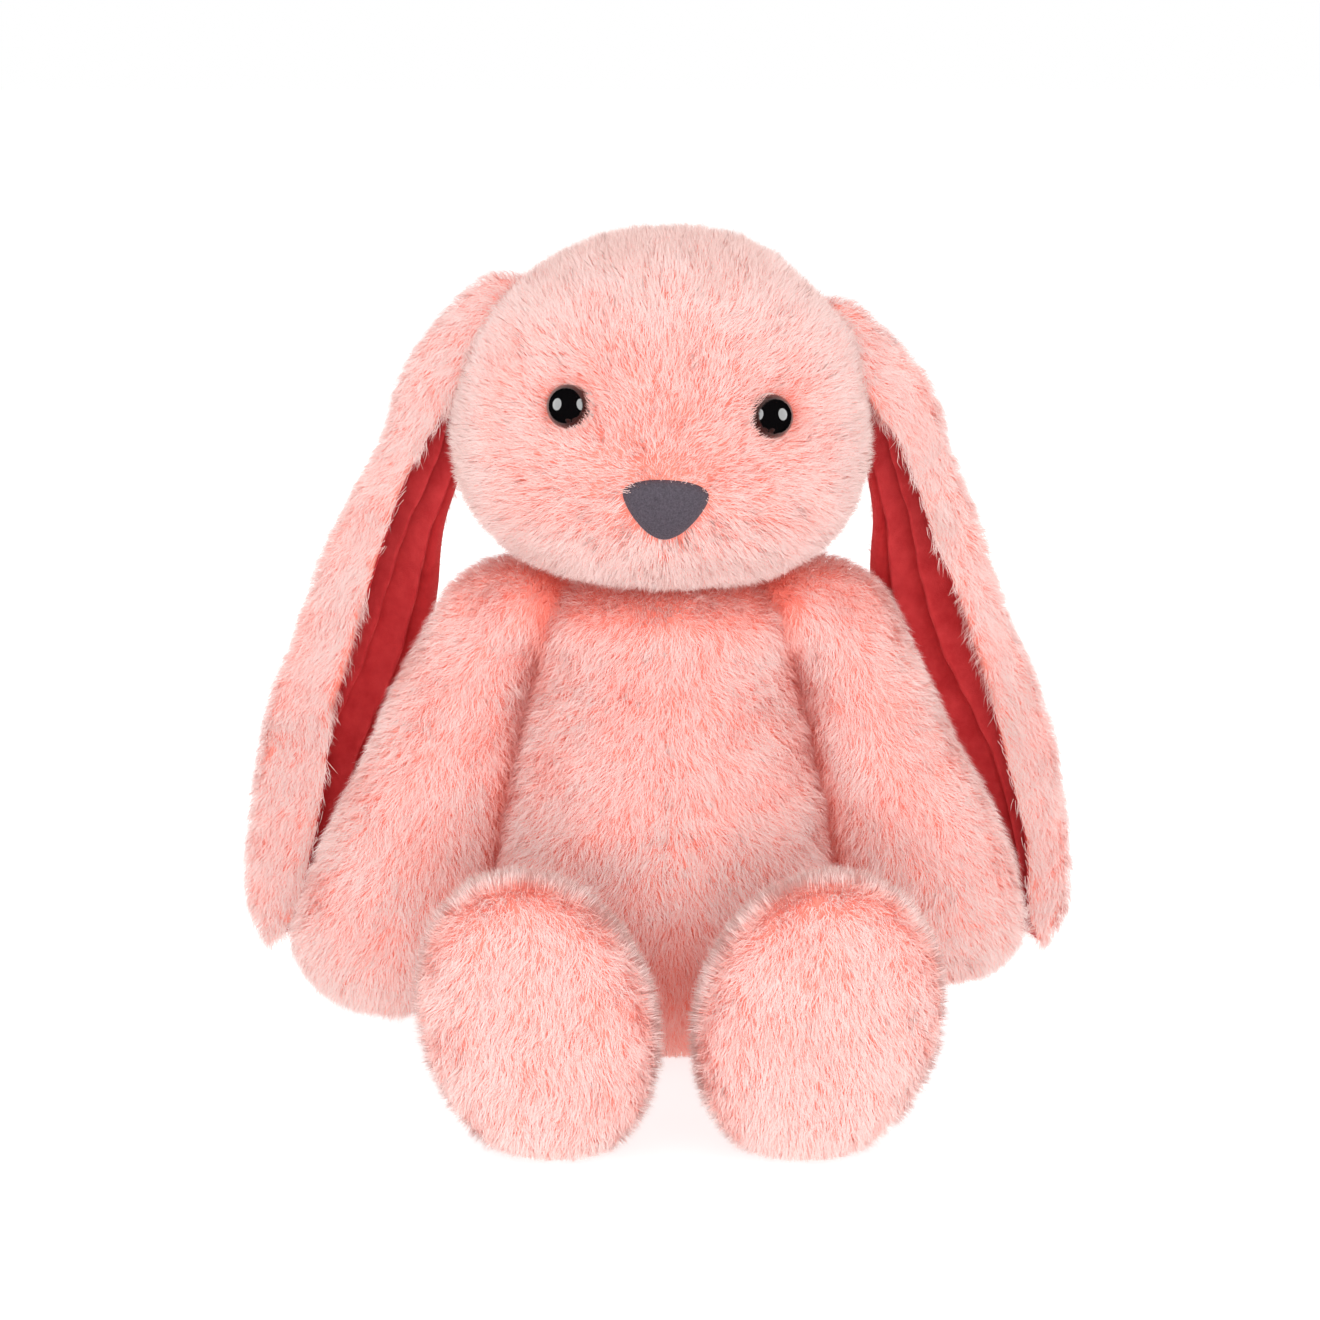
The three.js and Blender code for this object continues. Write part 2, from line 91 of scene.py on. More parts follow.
EVEN_STEPS = (0.7548776662466927, 0.5698402909980532)  # one over the plastic number, and its square

EAR_FOLD = math.radians(20)  # each half of the folded ear leans this far from the fold
EAR_BEND = 5  # softness of the lengthwise fold
EAR_CLOTH = 2.4
LINING = 1.1
FOLD_CROWDING = 1.25  # above 1, the cloth's columns stand closer together near the fold
EAR_ROOT_DEPTH = 0.2
EAR_TUFTS_DRAWN = 3  # for each that is kept
EAR_EXTRA = 1.15  # more tufts than the flat cloth takes, for its edges
LINING_GAP = 0.5
LINING_TRIM = -0.4  # the lining is turned over the fur's edge
LINING_COLUMNS = 96  # finer than the fur's cloth, for the pleats' sharp edges
# The lining's pleats. All but the height are shares of the hanging half's width.
PLEAT_LINE = 0.62  # where one pleat's edge lies at the root
PLEAT_WIDTH = 0.25
PLEAT_DROP = 0.13  # the share of a pleat's width in which it falls to its edge
PLEAT_END = 0.14  # the pleats die away this near the hanging edge
PLEAT_HEIGHT = 9
# Down each ear's outer fold: x outwards, y back, z up, then the width of the half in front of the
# fold and of the half behind it.
RIGHT_EAR = [
    [45, -3, 269, 8, 8],
    [60.5, -3, 269.5, 14, 14],
    [73.5, -2, 259.5, 20, 20],
    [84, 0, 246.5, 22.5, 25],
    [91, 4, 232, 18.5, 29],
    [98.5, 12, 212, 14.5, 32],
    [110, 23, 190, 17, 36],
    [121.5, 31, 167, 21, 45],
    [133, 37, 138, 24.5, 51],
    [141.5, 38, 115, 25, 51],
    [148, 38, 86, 27.5, 48],
    [152, 38, 60, 26, 41],
    [151.5, 37, 42, 22, 34],
    [148.5, 36.5, 30, 16, 25],
    [146, 36, 24.5, 7, 11],
]
LEFT_EAR = [
    [49.5, -3, 261.5, 8, 8],
    [63, -3, 260.5, 14, 14],
    [75.5, -2, 250.5, 20, 20],
    [86, 0, 239, 22.5, 25],
    [93, 5, 225.5, 18.5, 29],
    [98, 12, 211, 16.5, 32],
    [106, 22, 190, 17, 36],
    [114, 30, 168, 16, 45],
    [123.5, 37, 143, 17.5, 51],
    [132.5, 38, 121, 18.5, 51],
    [141, 38, 94, 19.5, 48],
    [146, 38, 64, 17, 41],
    [146, 37, 42, 16, 34],
    [143, 36.5, 30, 13, 25],
    [140, 36, 24, 6, 11],
]

NOSE_MIDDLE = (-0.3, 200)  # x and z
NOSE_PROUD = 3.6
NOSE_SUNK = 1.6
NOSE_LEAN = math.radians(3)
# Down the nose's edge from the middle of its top, on the toy's left: a soft-cornered triangle.
NOSE_EDGE = [(0, 10.6), (7, 10), (12.2, 8.2), (14.4, 5.4), (13.2, 1.2), (9.8, -4), (5.3, -8.4), (0, -10.4)]
EYE_RADIUS = 7.6
EYE_PROUD = 2.6  # from the face to the middle of the dome
EYE_DOME_STEPS = 21
EYE_DOME_STEP = math.radians(5.2)
EYE_CLEARANCE = 6.8  # no pile grows nearer to an eye's middle
DIMPLE_SPREAD = 3.6  # how much wider than a seam's dent the dent round an eye is
DIMPLE_DEPTH = 2.6  # how much deeper it is
# The back of the dome and its shank, as radius and height.
EYE_SHANK = [(4.6, -3.2), (2.2, -3.6), (2.2, -11.6), (1.7, -12.4), (0, -12.5)]

# ---- places on the toy that the pile and its colours go by ----
NOSE_ROOT = (0, -72, 200)  # the head's pile lies away from here
NOSE_PALE = (0, -70, 205)  # it is paler round here
NOSE_SHORT = (0, -70, 201)  # it is shorter and more upright round here
FACE_FROM = -0.3  # metres; rays to the face start this far in front
FACE_FRONT_Y = -20  # the eyes and the nose lie in front of this
NECK_ROOT = (0, 4, 190)
SHOULDER_ROOT = (30, 2, 178)
TAIL_ROOT = (0, 66, 56)
# These say where painted shade darkens the pile in the creases between the body and the arms.
CREASE_HEIGHTS = [60, 100, 140]  # up the creases between the body and the arms
BODY_CREASE_X = [58, 54, 42]
ARM_CREASE_X = [66, 60, 46]

# ---- camera and light, in metres ----
CAMERA_PLACE = (-0.002, -1.2, 0.37)
CAMERA_DOWN = math.radians(11)
CAMERA_LENS = 93.93
MIDDLE = (0, -0.02, 0.15)  # the lamps point here
# Name, place, width and height, and power.
LAMPS = [
    ("key_right", (1.0, -1.5, 0.5), (0.9, 1.2), 6.2),
    ("key_left", (-1.1, -1.4, 0.5), (0.9, 1.2), 5.8),
    ("front", (0, -1.9, 0.12), (0.8, 0.6), 22.5),
    ("top", (0, 0.3, 1.5), (1.4, 1.4), 3),
    ("back_right", (1.2, 1.5, 0.5), (1.2, 1.0), 11),
    ("back_left", (-1.2, 1.5, 0.5), (1.2, 1.0), 11),
]
GLINT_TURN = math.radians(66)
GLINT_CLIMB = math.radians(12)
GLINT_DISTANCE = 0.9
GLINT_SIZE = 0.84
GLINT_POWER = 12
WORLD_COLOR = (1, 0.99, 0.985, 1)
WORLD_STRENGTH = 0.85
FLOOR_REACH = 12
FLOOR_DROP = 0.0003
FLOOR_GREY = 0.45
FLOOR_GLOW = 0.76


# ---- colour ----
def linear(red, green, blue):
    """A colour given as 0 to 255 sRGB, as the shader takes it."""
    def channel(v):
        v /= 255
        return v / 12.92 if v <= 0.04045 else ((v + 0.055) / 1.055) ** 2.4
    return (channel(red), channel(green), channel(blue), 1.0)


ROOTS = [linear(254, 178, 165), linear(251, 160, 146)]
# From the deep salmon painted as shade in the creases to the palest fur, and then a beige painted as the
# sheen and shade of fur seen edge-on at the rims.
TONES = [linear(248, 157, 142), linear(248, 191, 181), linear(247, 205, 198), linear(244, 216, 211),
         linear(240, 222, 218), linear(228, 204, 198)]
# The light that passes through the fibres.
THROUGH_LIGHT = (1, 0.17, 0.13, 1)
THROUGH_STRENGTH = 0.05


# ---- small helpers ----
def set_inputs(node, values):
    for name, value in values.items():
        node.inputs[name].default_value = value


def placed(name, data):
    """A new object in the scene."""
    obj = bpy.data.objects.new(name, data)
    bpy.context.scene.collection.objects.link(obj)
    return obj


# ---- camera, floor and light ----
def make_camera():
    camera = placed("camera", bpy.data.cameras.new("camera"))
    camera.data.sensor_width = 36
    camera.data.lens = CAMERA_LENS
    camera.location = CAMERA_PLACE
    camera.rotation_euler = (math.radians(90) - CAMERA_DOWN, 0, 0)
    bpy.context.scene.camera = camera


def make_area_light(name, place, target, size, power, glossy=False):
    data = bpy.data.lights.new(name, "AREA")
    data.shape = "RECTANGLE"
    data.size, data.size_y = size
    data.energy = power
    light = placed(name, data)
    light.location = place
    aim = Vector(target) - Vector(place)
    light.rotation_euler = aim.to_track_quat("-Z", "Y").to_euler()
    light.visible_glossy = glossy
    return light


def make_glint_light(name, side):
    """A round lamp seen only as a spot of light in glossy things."""
    face = Vector((0, -0.05, 0.23))
    level = math.cos(GLINT_CLIMB)
    across, ahead = side * math.sin(GLINT_TURN), -math.cos(GLINT_TURN)
    aim = Vector((across * level, ahead * level, math.sin(GLINT_CLIMB)))
    size = (GLINT_SIZE, GLINT_SIZE)
    lamp = make_area_light(name, face + aim * GLINT_DISTANCE, face, size, GLINT_POWER, glossy=True)
    lamp.data.shape = "DISK"
    lamp.visible_diffuse = False
    lamp.visible_transmission = False


def make_studio():
    scene = bpy.context.scene
    scene.view_settings.view_transform = "Standard"
    world = bpy.data.worlds.new("studio")
    scene.world = world
    world.use_nodes = True
    nodes, links = world.node_tree.nodes, world.node_tree.links
    background = nodes["Background"]
    set_inputs(background, {"Color": WORLD_COLOR, "Strength": WORLD_STRENGTH})
    shown = nodes.new("ShaderNodeBackground")
    set_inputs(shown, {"Color": (1, 1, 1, 1)})
    path = nodes.new("ShaderNodeLightPath")
    choose = nodes.new("ShaderNodeMixShader")
    links.new(path.outputs["Is Camera Ray"], choose.inputs["Fac"])
    links.new(background.outputs["Background"], choose.inputs[1])
    links.new(shown.outputs["Background"], choose.inputs[2])
    links.new(choose.outputs["Shader"], nodes["World Output"].inputs["Surface"])
    world.cycles_visibility.glossy = False

    for name, place, size, power in LAMPS:
        make_area_light(name, place, MIDDLE, size, power)
    make_glint_light("glint_right", 1)
    make_glint_light("glint_left", -1)


def make_floor():
    mesh = bpy.data.meshes.new("floor")
    far = FLOOR_REACH
    mesh.from_pydata([(-far, -far, 0), (far, -far, 0), (far, far, 0), (-far, far, 0)], [], [(0, 1, 2, 3)])
    floor = placed("floor", mesh)
    floor.location.z = -FLOOR_DROP
    floor.visible_glossy = False
    floor.visible_diffuse = False
    material = bpy.data.materials.new("floor")
    material.use_nodes = True
    shader = material.node_tree.nodes["Principled BSDF"]
    set_inputs(shader, {
        "Base Color": (FLOOR_GREY, FLOOR_GREY, FLOOR_GREY, 1), "Roughness": 0.9, "Specular IOR Level": 0.1,
        "Emission Color": (1, 1, 1, 1), "Emission Strength": FLOOR_GLOW})
    mesh.materials.append(material)


# ---- materials ----
def new_material(name, color, roughness, sheen=0.0, sheen_roughness=0.4, specular=0.3):
    material = bpy.data.materials.new(name)
    material.use_nodes = True
    material.diffuse_color = color
    shader = material.node_tree.nodes["Principled BSDF"]
    set_inputs(shader, {"Base Color": color, "Roughness": roughness, "Sheen Weight": sheen,
                        "Sheen Roughness": sheen_roughness, "Specular IOR Level": specular})
    return material, shader, material.node_tree


def noise(tree, scale, detail=2.0, roughness=0.5, stretch=(1, 1, 1)):
    """A noise texture in object space; scale is in waves to a metre."""
    place = tree.nodes.new("ShaderNodeTexCoord")
    mapping = tree.nodes.new("ShaderNodeMapping")
    set_inputs(mapping, {"Scale": stretch})
    texture = tree.nodes.new("ShaderNodeTexNoise")
    set_inputs(texture, {"Scale": scale, "Detail": detail, "Roughness": roughness})
    tree.links.new(place.outputs["Object"], mapping.inputs["Vector"])
    tree.links.new(mapping.outputs["Vector"], texture.inputs["Vector"])
    return texture


def ramp(tree, texture, target, stops):
    """Leads a texture to the target through a row of (position, colour)."""
    node = tree.nodes.new("ShaderNodeValToRGB")
    while len(node.color_ramp.elements) < len(stops):
        node.color_ramp.elements.new(0.5)
    for element, (position, color) in zip(node.color_ramp.elements, stops):
        element.position = position
        element.color = color
    tree.links.new(texture.outputs["Fac"], node.inputs["Fac"])
    tree.links.new(node.outputs["Color"], target)


def bump(tree, shader, texture, distance):
    node = tree.nodes.new("ShaderNodeBump")
    set_inputs(node, {"Distance": distance * MM, "Strength": 1})
    tree.links.new(texture.outputs["Fac"], node.inputs["Height"])
    tree.links.new(node.outputs["Normal"], shader.inputs["Normal"])


def let_light_through(shader):
    """A faint red glow, which stands for the light that passes through the fibres of the fur."""
    set_inputs(shader, {"Emission Color": THROUGH_LIGHT, "Emission Strength": THROUGH_STRENGTH})


def fur_backing_material():
    """The dense underfur between the standing strands."""
    material, shader, tree = new_material("fur_backing", linear(250, 150, 134), 0.95, specular=0.05)
    let_light_through(shader)
    patch = noise(tree, 90, detail=4)
    ramp(tree, patch, shader.inputs["Base Color"],
         [(0.3, linear(244, 138, 122)), (0.7, linear(254, 164, 149))])
    fibre = noise(tree, 1600, detail=3, roughness=0.7)
    bump(tree, shader, fibre, 0.6)
    return material


def strand_materials():
    """Constant colours: the roots' first, then the tones in order."""
    made = []
    for group, colors in (("root", ROOTS), ("tone", TONES)):
        for number, color in enumerate(colors):
            material, shader, _ = new_material(f"pile_{group}_{number}", color, 0.8, specular=0.12)
            let_light_through(shader)
            made.append(material)
    return made


def velour_material():
    material, shader, tree = new_material(
        "velour", linear(202, 58, 62), 0.8, sheen=0.9, sheen_roughness=0.28, specular=0.1)
    set_inputs(shader, {"Sheen Tint": linear(240, 110, 108)})
    patch = noise(tree, 120, detail=5, roughness=0.65)
    ramp(tree, patch, shader.inputs["Base Color"],
         [(0.3, linear(190, 49, 53)), (0.7, linear(213, 66, 69))])
    nap = noise(tree, 2600, detail=3, roughness=0.7)
    bump(tree, shader, nap, 0.35)
    return material


def nose_material():
    material, shader, tree = new_material(
        "brushed_nose_cloth", linear(88, 79, 87), 0.85, sheen=0.2, sheen_roughness=0.5, specular=0.15)
    set_inputs(shader, {"Sheen Tint": linear(190, 180, 196)})
    grain = noise(tree, 1500, detail=4, roughness=0.75)
    ramp(tree, grain, shader.inputs["Base Color"],
         [(0.3, linear(60, 55, 63)), (0.72, linear(98, 90, 100))])
    bump(tree, shader, grain, 0.45)
    return material


def eye_material():
    material, shader, tree = new_material("eye_gloss", linear(9, 8, 9), 0.04, specular=0.5)
    set_inputs(shader, {"Coat Weight": 0.6, "Coat Roughness": 0.02})
    haze = noise(tree, 260, detail=2)
    ramp(tree, haze, shader.inputs["Roughness"],
         [(0.4, (0.03, 0.03, 0.03, 1)), (0.8, (0.07, 0.07, 0.07, 1))])
    return material


def plastic_material():
    material, shader, tree = new_material("washer_plastic", linear(232, 232, 228), 0.45)
    speckle = noise(tree, 700, detail=2)
    ramp(tree, speckle, shader.inputs["Base Color"],
         [(0.3, linear(222, 222, 218)), (0.7, linear(238, 238, 235))])
    return material


def filling_material():
    material, shader, tree = new_material("fibre_filling", linear(246, 245, 241), 1.0, sheen=0.3)
    wisps = noise(tree, 260, detail=6, roughness=0.7, stretch=(1, 1, 3))
    ramp(tree, wisps, shader.inputs["Base Color"],
         [(0.3, linear(228, 226, 220)), (0.7, linear(252, 252, 250))])
    bump(tree, shader, wisps, 1.5)
    return material


def calico_material():
    material, shader, tree = new_material("calico", linear(226, 218, 198), 0.9)
    weave = tree.nodes.new("ShaderNodeTexWave")
    set_inputs(weave, {"Scale": 420, "Distortion": 0.6})
    place = tree.nodes.new("ShaderNodeTexCoord")
    tree.links.new(place.outputs["Object"], weave.inputs["Vector"])
    ramp(tree, weave, shader.inputs["Base Color"],
         [(0.2, linear(208, 198, 176)), (0.8, linear(236, 229, 212))])
    bump(tree, shader, weave, 0.3)
    return material


# ---- mesh helpers ----
def new_object(name, mesh, body, material=None, smooth=True):
    obj = placed(name, mesh)
    if material:
        mesh.materials.clear()
        mesh.materials.append(material)
    if smooth:
        mesh.shade_smooth()
    if body:
        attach(obj, body)
    return obj


def finished_mesh(name, bm):
    mesh = bpy.data.meshes.new(name)
    bm.to_mesh(mesh)
    bm.free()
    return mesh


def evaluated_mesh(obj):
    depsgraph = bpy.context.evaluated_depsgraph_get()
    return bpy.data.meshes.new_from_object(obj.evaluated_get(depsgraph))


def vertex_array(mesh, field="co"):
    values = np.empty(len(mesh.vertices) * 3)
    mesh.vertices.foreach_get(field, values)
    return values.reshape(-1, 3)


def set_vertices(mesh, points):
    mesh.vertices.foreach_set("co", points.ravel())
    mesh.update()


def unit(vectors):
    length = np.linalg.norm(vectors, axis=-1, keepdims=True)
    return vectors / np.maximum(length, 1e-9)


def smoothed(mesh, points, rounds, share=0.5):
    """The points moved part of the way to the mean of their neighbours, rounds times."""
    edges = np.empty(len(mesh.edges) * 2, dtype=np.int64)
    mesh.edges.foreach_get("vertices", edges)
    a, b = edges.reshape(-1, 2).T
    count = np.bincount(np.concatenate([a, b]), minlength=len(points))[:, None]
    for _ in range(rounds):
        total = np.zeros_like(points)
        np.add.at(total, a, points[b])
        np.add.at(total, b, points[a])
        points = points + share * (total / np.maximum(count, 1) - points)
    return points


# ---- stuffed forms ----
class Form:
    """A plump closed form over some CAD fillings, on its way to becoming a sewn cover."""

    def __init__(self, name, fillings, plugs=(), shape=None):
        bm = bmesh.new()
        for node in fillings:
            bm.from_mesh(frame["nodes"][node].data)
        for centre, size in plugs:
            made = bmesh.ops.create_uvsphere(bm, u_segments=16, v_segments=10, radius=1)
            for vertex in made["verts"]:
                vertex.co = Vector(c + s * v for c, s, v in zip(centre, size, vertex.co)) * MM
        source = placed(name + "_source", finished_mesh(name, bm))
        remesh = source.modifiers.new("remesh", "REMESH")
        remesh.mode = "VOXEL"
        remesh.voxel_size = VOXEL * MM
        dense = evaluated_mesh(source)
        bpy.data.objects.remove(source)
        points = smoothed(dense, vertex_array(dense), rounds=4)
        if shape:
            points = shape(points / MM) * MM
        set_vertices(dense, points)
        points = points + vertex_array(dense, "normal") * COVER_OUT * MM
        set_vertices(dense, points)
        self.start = points
        self.object = placed(name + "_swelling", dense)

    def add_cloth(self):
        cloth = self.object.modifiers.new("cloth", "CLOTH")
        cloth.settings.use_pressure = True
        cloth.settings.uniform_pressure_force = PRESSURE
        cloth.settings.quality = CLOTH_QUALITY
        cloth.settings.effector_weights.gravity = 0
        cloth.point_cache.frame_start = 1
        cloth.point_cache.frame_end = CLOTH_FRAMES

    def settle(self):
        """Keeps the swollen shape, capped, with its small wrinkles eased."""
        mesh = evaluated_mesh(self.object)
        points = vertex_array(mesh)
        move = points - self.start
        length = np.linalg.norm(move, axis=1, keepdims=True)
        move *= np.minimum(1, PUFF_CAP * MM / np.maximum(length, 1e-9))
        points = smoothed(mesh, self.start + move, rounds=3, share=0.4)
        set_vertices(mesh, points)
        bpy.data.objects.remove(self.object)
        self.mesh = mesh


def swell(forms):
    for form in forms:
        form.add_cloth()
    for number in range(1, CLOTH_FRAMES + 1):
        bpy.context.scene.frame_set(number)
    for form in forms:
        form.settle()
    bpy.context.scene.frame_set(1)


def pull_in_seams(mesh, seams):
    """Each seam gives the points' distances from its line, in millimetres, and its strength there."""
    mesh.update()
    points, normals = vertex_array(mesh), vertex_array(mesh, "normal")
    for seam in seams:
        distance, strength = seam(points / MM)
        depth = SEAM_DEPTH * strength * np.exp(-((distance / SEAM_WIDTH) ** 2))
        points = points - normals * depth[:, None] * MM
    set_vertices(mesh, points)


def subdivided(mesh):
    obj = placed("subdividing", mesh)
    obj.modifiers.new("fine", "SUBSURF").levels = 1
    fine = evaluated_mesh(obj)
    bpy.data.objects.remove(obj)
    return fine


def cut_covers(fine, panel_of, covers, body, material):
    """One shell for each panel of the form, a cloth's thickness deep."""
    centres = np.empty(len(fine.polygons) * 3)
    fine.polygons.foreach_get("center", centres)
    panel = panel_of(centres.reshape(-1, 3) / MM)
    for number, (label, nodes) in enumerate(covers):
        name = f"{label}_cover"
        bm = bmesh.new()
        bm.from_mesh(fine)
        bm.faces.ensure_lookup_table()
        away = [bm.faces[i] for i in np.nonzero(panel != number)[0]]
        bmesh.ops.delete(bm, geom=away, context="FACES")
        cover = new_object(name, finished_mesh(name, bm), None, material)
        shell = cover.modifiers.new("thickness", "SOLIDIFY")
        shell.thickness = COVER_THICKNESS * MM
        shell.offset = -1
        solid = evaluated_mesh(cover)
        cover.modifiers.clear()
        cover.data = solid
        solid.shade_smooth()
        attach(cover, body)
        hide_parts(*nodes)


# ---- the pile ----
def sample_surface(mesh, density, rng):
    """Random points on a surface, evenly spread, with their normals. density is per square millimetre."""
    mesh.calc_loop_triangles()
    corners = np.empty(len(mesh.loop_triangles) * 3, dtype=np.int64)
    mesh.loop_triangles.foreach_get("vertices", corners)
    corners = corners.reshape(-1, 3)
    points, normals = vertex_array(mesh), vertex_array(mesh, "normal")
    a, b, c = (points[corners[:, i]] for i in range(3))
    area = 0.5 * np.linalg.norm(np.cross(b - a, c - a), axis=1)
    count = int(area.sum() / MM**2 * density)
    chosen = rng.choice(len(area), size=count, p=area / area.sum())
    u, v = rng.random(count), rng.random(count)
    flip = u + v > 1
    u[flip], v[flip] = 1 - u[flip], 1 - v[flip]
    w = 1 - u - v
    weights = np.stack([w, u, v], axis=1)[:, :, None]
    return (points[corners[chosen]] * weights).sum(1), unit((normals[corners[chosen]] * weights).sum(1))


def drift(points, wavelength, seed):
    """A smooth value from -1 to 1 that wanders over the surface; wavelength is in millimetres."""
    rng = np.random.default_rng(seed)
    total = np.zeros(len(points))
    for _ in range(6):
        direction = unit(rng.normal(size=3))
        rate = 2 * math.pi / (wavelength * MM) * rng.uniform(0.6, 1.6)
        total += np.sin(points @ direction * rate + rng.uniform(0, 2 * math.pi))
    return total / 3


def turned(vectors, axes, angles):
    """Each vector turned about its own unit axis, which is square to it."""
    return vectors * np.cos(angles)[:, None] + np.cross(axes, vectors) * np.sin(angles)[:, None]


def evenly_thinned(points, spacing, rng):
    """The numbers of the points left when each small cell of space keeps only one of them."""
    cells = np.floor(points / (spacing * MM) + rng.random(3)).astype(np.int64)
    x, y, z = (cells[:, axis] * prime for axis, prime in enumerate(CELL_HASH))
    _, first = np.unique(x ^ y ^ z, return_index=True)
    return first


def grow(mesh, flow, seed, tone, keep=None, stand=None, **style):
    """Strands over a surface. flow gives the way the pile lies at each point."""
    rng = np.random.default_rng(seed)
    tuft_density = DENSITY / STRANDS_PER_TUFT
    roots, normals = sample_surface(mesh, tuft_density * TUFTS_DRAWN, rng)
    chosen = evenly_thinned(roots, TUFT_CELL / math.sqrt(tuft_density), rng)
    roots, normals = roots[chosen], normals[chosen]
    if keep is not None:
        kept = keep(roots / MM)
        roots, normals = roots[kept], normals[kept]
    shades = tone(roots / MM, normals)
    if stand is not None:
        style["lift"], style["length"], style["bend"] = stand(roots / MM)
    return strands_at(roots, normals, flow(roots / MM), shades, rng, seed, **style)


def strands_at(roots, normals, lie, shades, rng, seed, length=PILE_LENGTH, lift=0.8, messy=0.2, bend=0.5):
    """Tufts of strands at the roots, which lie the given way and part a little at random."""
    lie = unit(lie - (lie * normals).sum(1, keepdims=True) * normals)
    swirl = 0.35 * drift(roots, 26, seed + 1) + 0.2 * drift(roots, 9, seed + 2)
    lie = turned(lie, normals, swirl + rng.normal(0, messy, len(roots)))
    tufts = len(roots)
    side = np.cross(normals, lie)

    each = STRANDS_PER_TUFT
    total = tufts * each
    tuft = np.repeat(np.arange(tufts), each)
    spread = rng.normal(0, TUFT_SPREAD * MM, (total, 2))
    root = roots[tuft] + lie[tuft] * spread[:, :1] + side[tuft] * spread[:, 1:]
    up = normals[tuft]
    yaw = rng.normal(0, 0.25, total)
    way = turned(lie[tuft], up, yaw)
    tuft_lift = lift * (1 + 0.2 * drift(roots, 14, seed + 3)) + rng.normal(0, 0.09, tufts)
    rise = tuft_lift[tuft] + rng.normal(0, 0.17, total)
    length = np.broadcast_to(length, tufts)[tuft]
    reach = length * MM * (1 + 0.08 * drift(roots, 18, seed + 4))[tuft] * rng.uniform(0.72, 1.1, total)
    reach *= rng.uniform(0.88, 1.08, tufts)[tuft]
    rise = np.clip(rise, 0.1, 1.5)
    first = way * np.cos(rise + 0.3)[:, None] + up * np.sin(rise + 0.3)[:, None]
    tip_rise = rise * np.broadcast_to(bend, tufts)[tuft]
    last = way * np.cos(tip_rise)[:, None] + up * np.sin(tip_rise)[:, None]
    middle = root + first * (reach * 0.5)[:, None]
    tip = middle + last * (reach * 0.5)[:, None]
    gather = rng.uniform(0.2, 0.7, total)[:, None]
    tip -= (lie[tuft] * spread[:, :1] + side[tuft] * spread[:, 1:]) * gather
    root -= up * ROOT_DEPTH * MM

    across = unit(np.cross(first, up))
    roll = rng.uniform(-0.8, 0.8, total)[:, None]
    across = across * np.cos(roll) + np.cross(first, across) * np.sin(roll)
    wide = (STRAND_WIDTH * MM / 2 * rng.uniform(0.75, 1.25, total))[:, None]
    tuft_tone = shades + TONE_DRIFT * drift(roots, 30, seed + 5) + rng.normal(0, TUFT_TONE_NOISE, tufts)
    for points in (root, middle, tip):
        points[:, 2] = np.maximum(points[:, 2], LOWEST * MM)
    return {
        "root": root, "middle": middle, "tip": tip, "across": across, "wide": wide, "up": up,
        "tone": tuft_tone[tuft] + rng.normal(0, STRAND_TONE_NOISE, total), "shade": rng.random(total),
    }


def pile_mesh(name, strands, materials):
    """Each strand is a four-sided root piece and a three-sided tip."""
    root, middle, tip = strands["root"], strands["middle"], strands["tip"]
    across = strands["across"]
    half = across * strands["wide"]
    waist = half * STRAND_TAPER
    total = len(root)
    points = np.stack([root - half, root + half, middle - waist, middle + waist, tip], axis=1)
    first = np.arange(total)[:, None] * STRAND_POINTS
    quads = first + np.array([0, 1, 3, 2])
    tips = first + np.array([2, 3, 4])
    corners = np.concatenate([quads, tips], axis=1).ravel()
    starts = (np.arange(total)[:, None] * STRAND_CORNERS + np.array([0, 4])).ravel()
    mesh = bpy.data.meshes.new(name)
    mesh.vertices.add(total * STRAND_POINTS)
    mesh.vertices.foreach_set("co", points.ravel())
    mesh.loops.add(len(corners))
    mesh.loops.foreach_set("vertex_index", corners.astype(np.int32))
    mesh.polygons.add(total * 2)
    mesh.polygons.foreach_set("loop_start", starts.astype(np.int32))
    for material in materials:
        mesh.materials.append(material)
    tone = np.clip(np.rint(strands["tone"]) + 1, 0, len(TONES) - 1).astype(int)
    # A root is one tone below its tip, or, more often where the fur is deep in colour, a root colour.
    below = np.clip(tone - 1, 0, 3)
    shade = strands["shade"]
    warm = 0.46 - 0.12 * np.clip(strands["tone"], -1, 4)
    root_slot = np.where(shade < 0.3 * warm, 1, np.where(shade < warm, 0, len(ROOTS) + below))
    slots = np.stack([root_slot, len(ROOTS) + tone], axis=1).ravel()
    mesh.polygons.foreach_set("material_index", slots.astype(np.int32))
    mesh.update(calc_edges=True)
    mesh.shade_smooth()
    # Shaded partly as the surface under the strand, so that the fur looks soft.
    facing = unit(np.cross(across, middle - root))
    leaning = unit(strands["up"] * 0.62 + facing * 0.65)
    mesh.normals_split_custom_set_from_vertices(np.repeat(leaning, STRAND_POINTS, axis=0))
    return mesh


def add_pile(name, body, strands, materials):
    """The strands as one piece, or as several where there are very many."""
    total = len(strands["root"])
    pieces = max(1, math.ceil(total / LARGEST_PILE))
    order = np.argsort(strands["root"][:, 0], kind="stable")
    for number, chosen in enumerate(np.array_split(order, pieces)):
        label = name if pieces == 1 else f"{name}_{number + 1}"
        mesh = pile_mesh(label, split_strands(strands, chosen), materials)
        pile = new_object(label, mesh, body, smooth=False)


def split_strands(strands, chosen):
    return {key: value[chosen] for key, value in strands.items()}


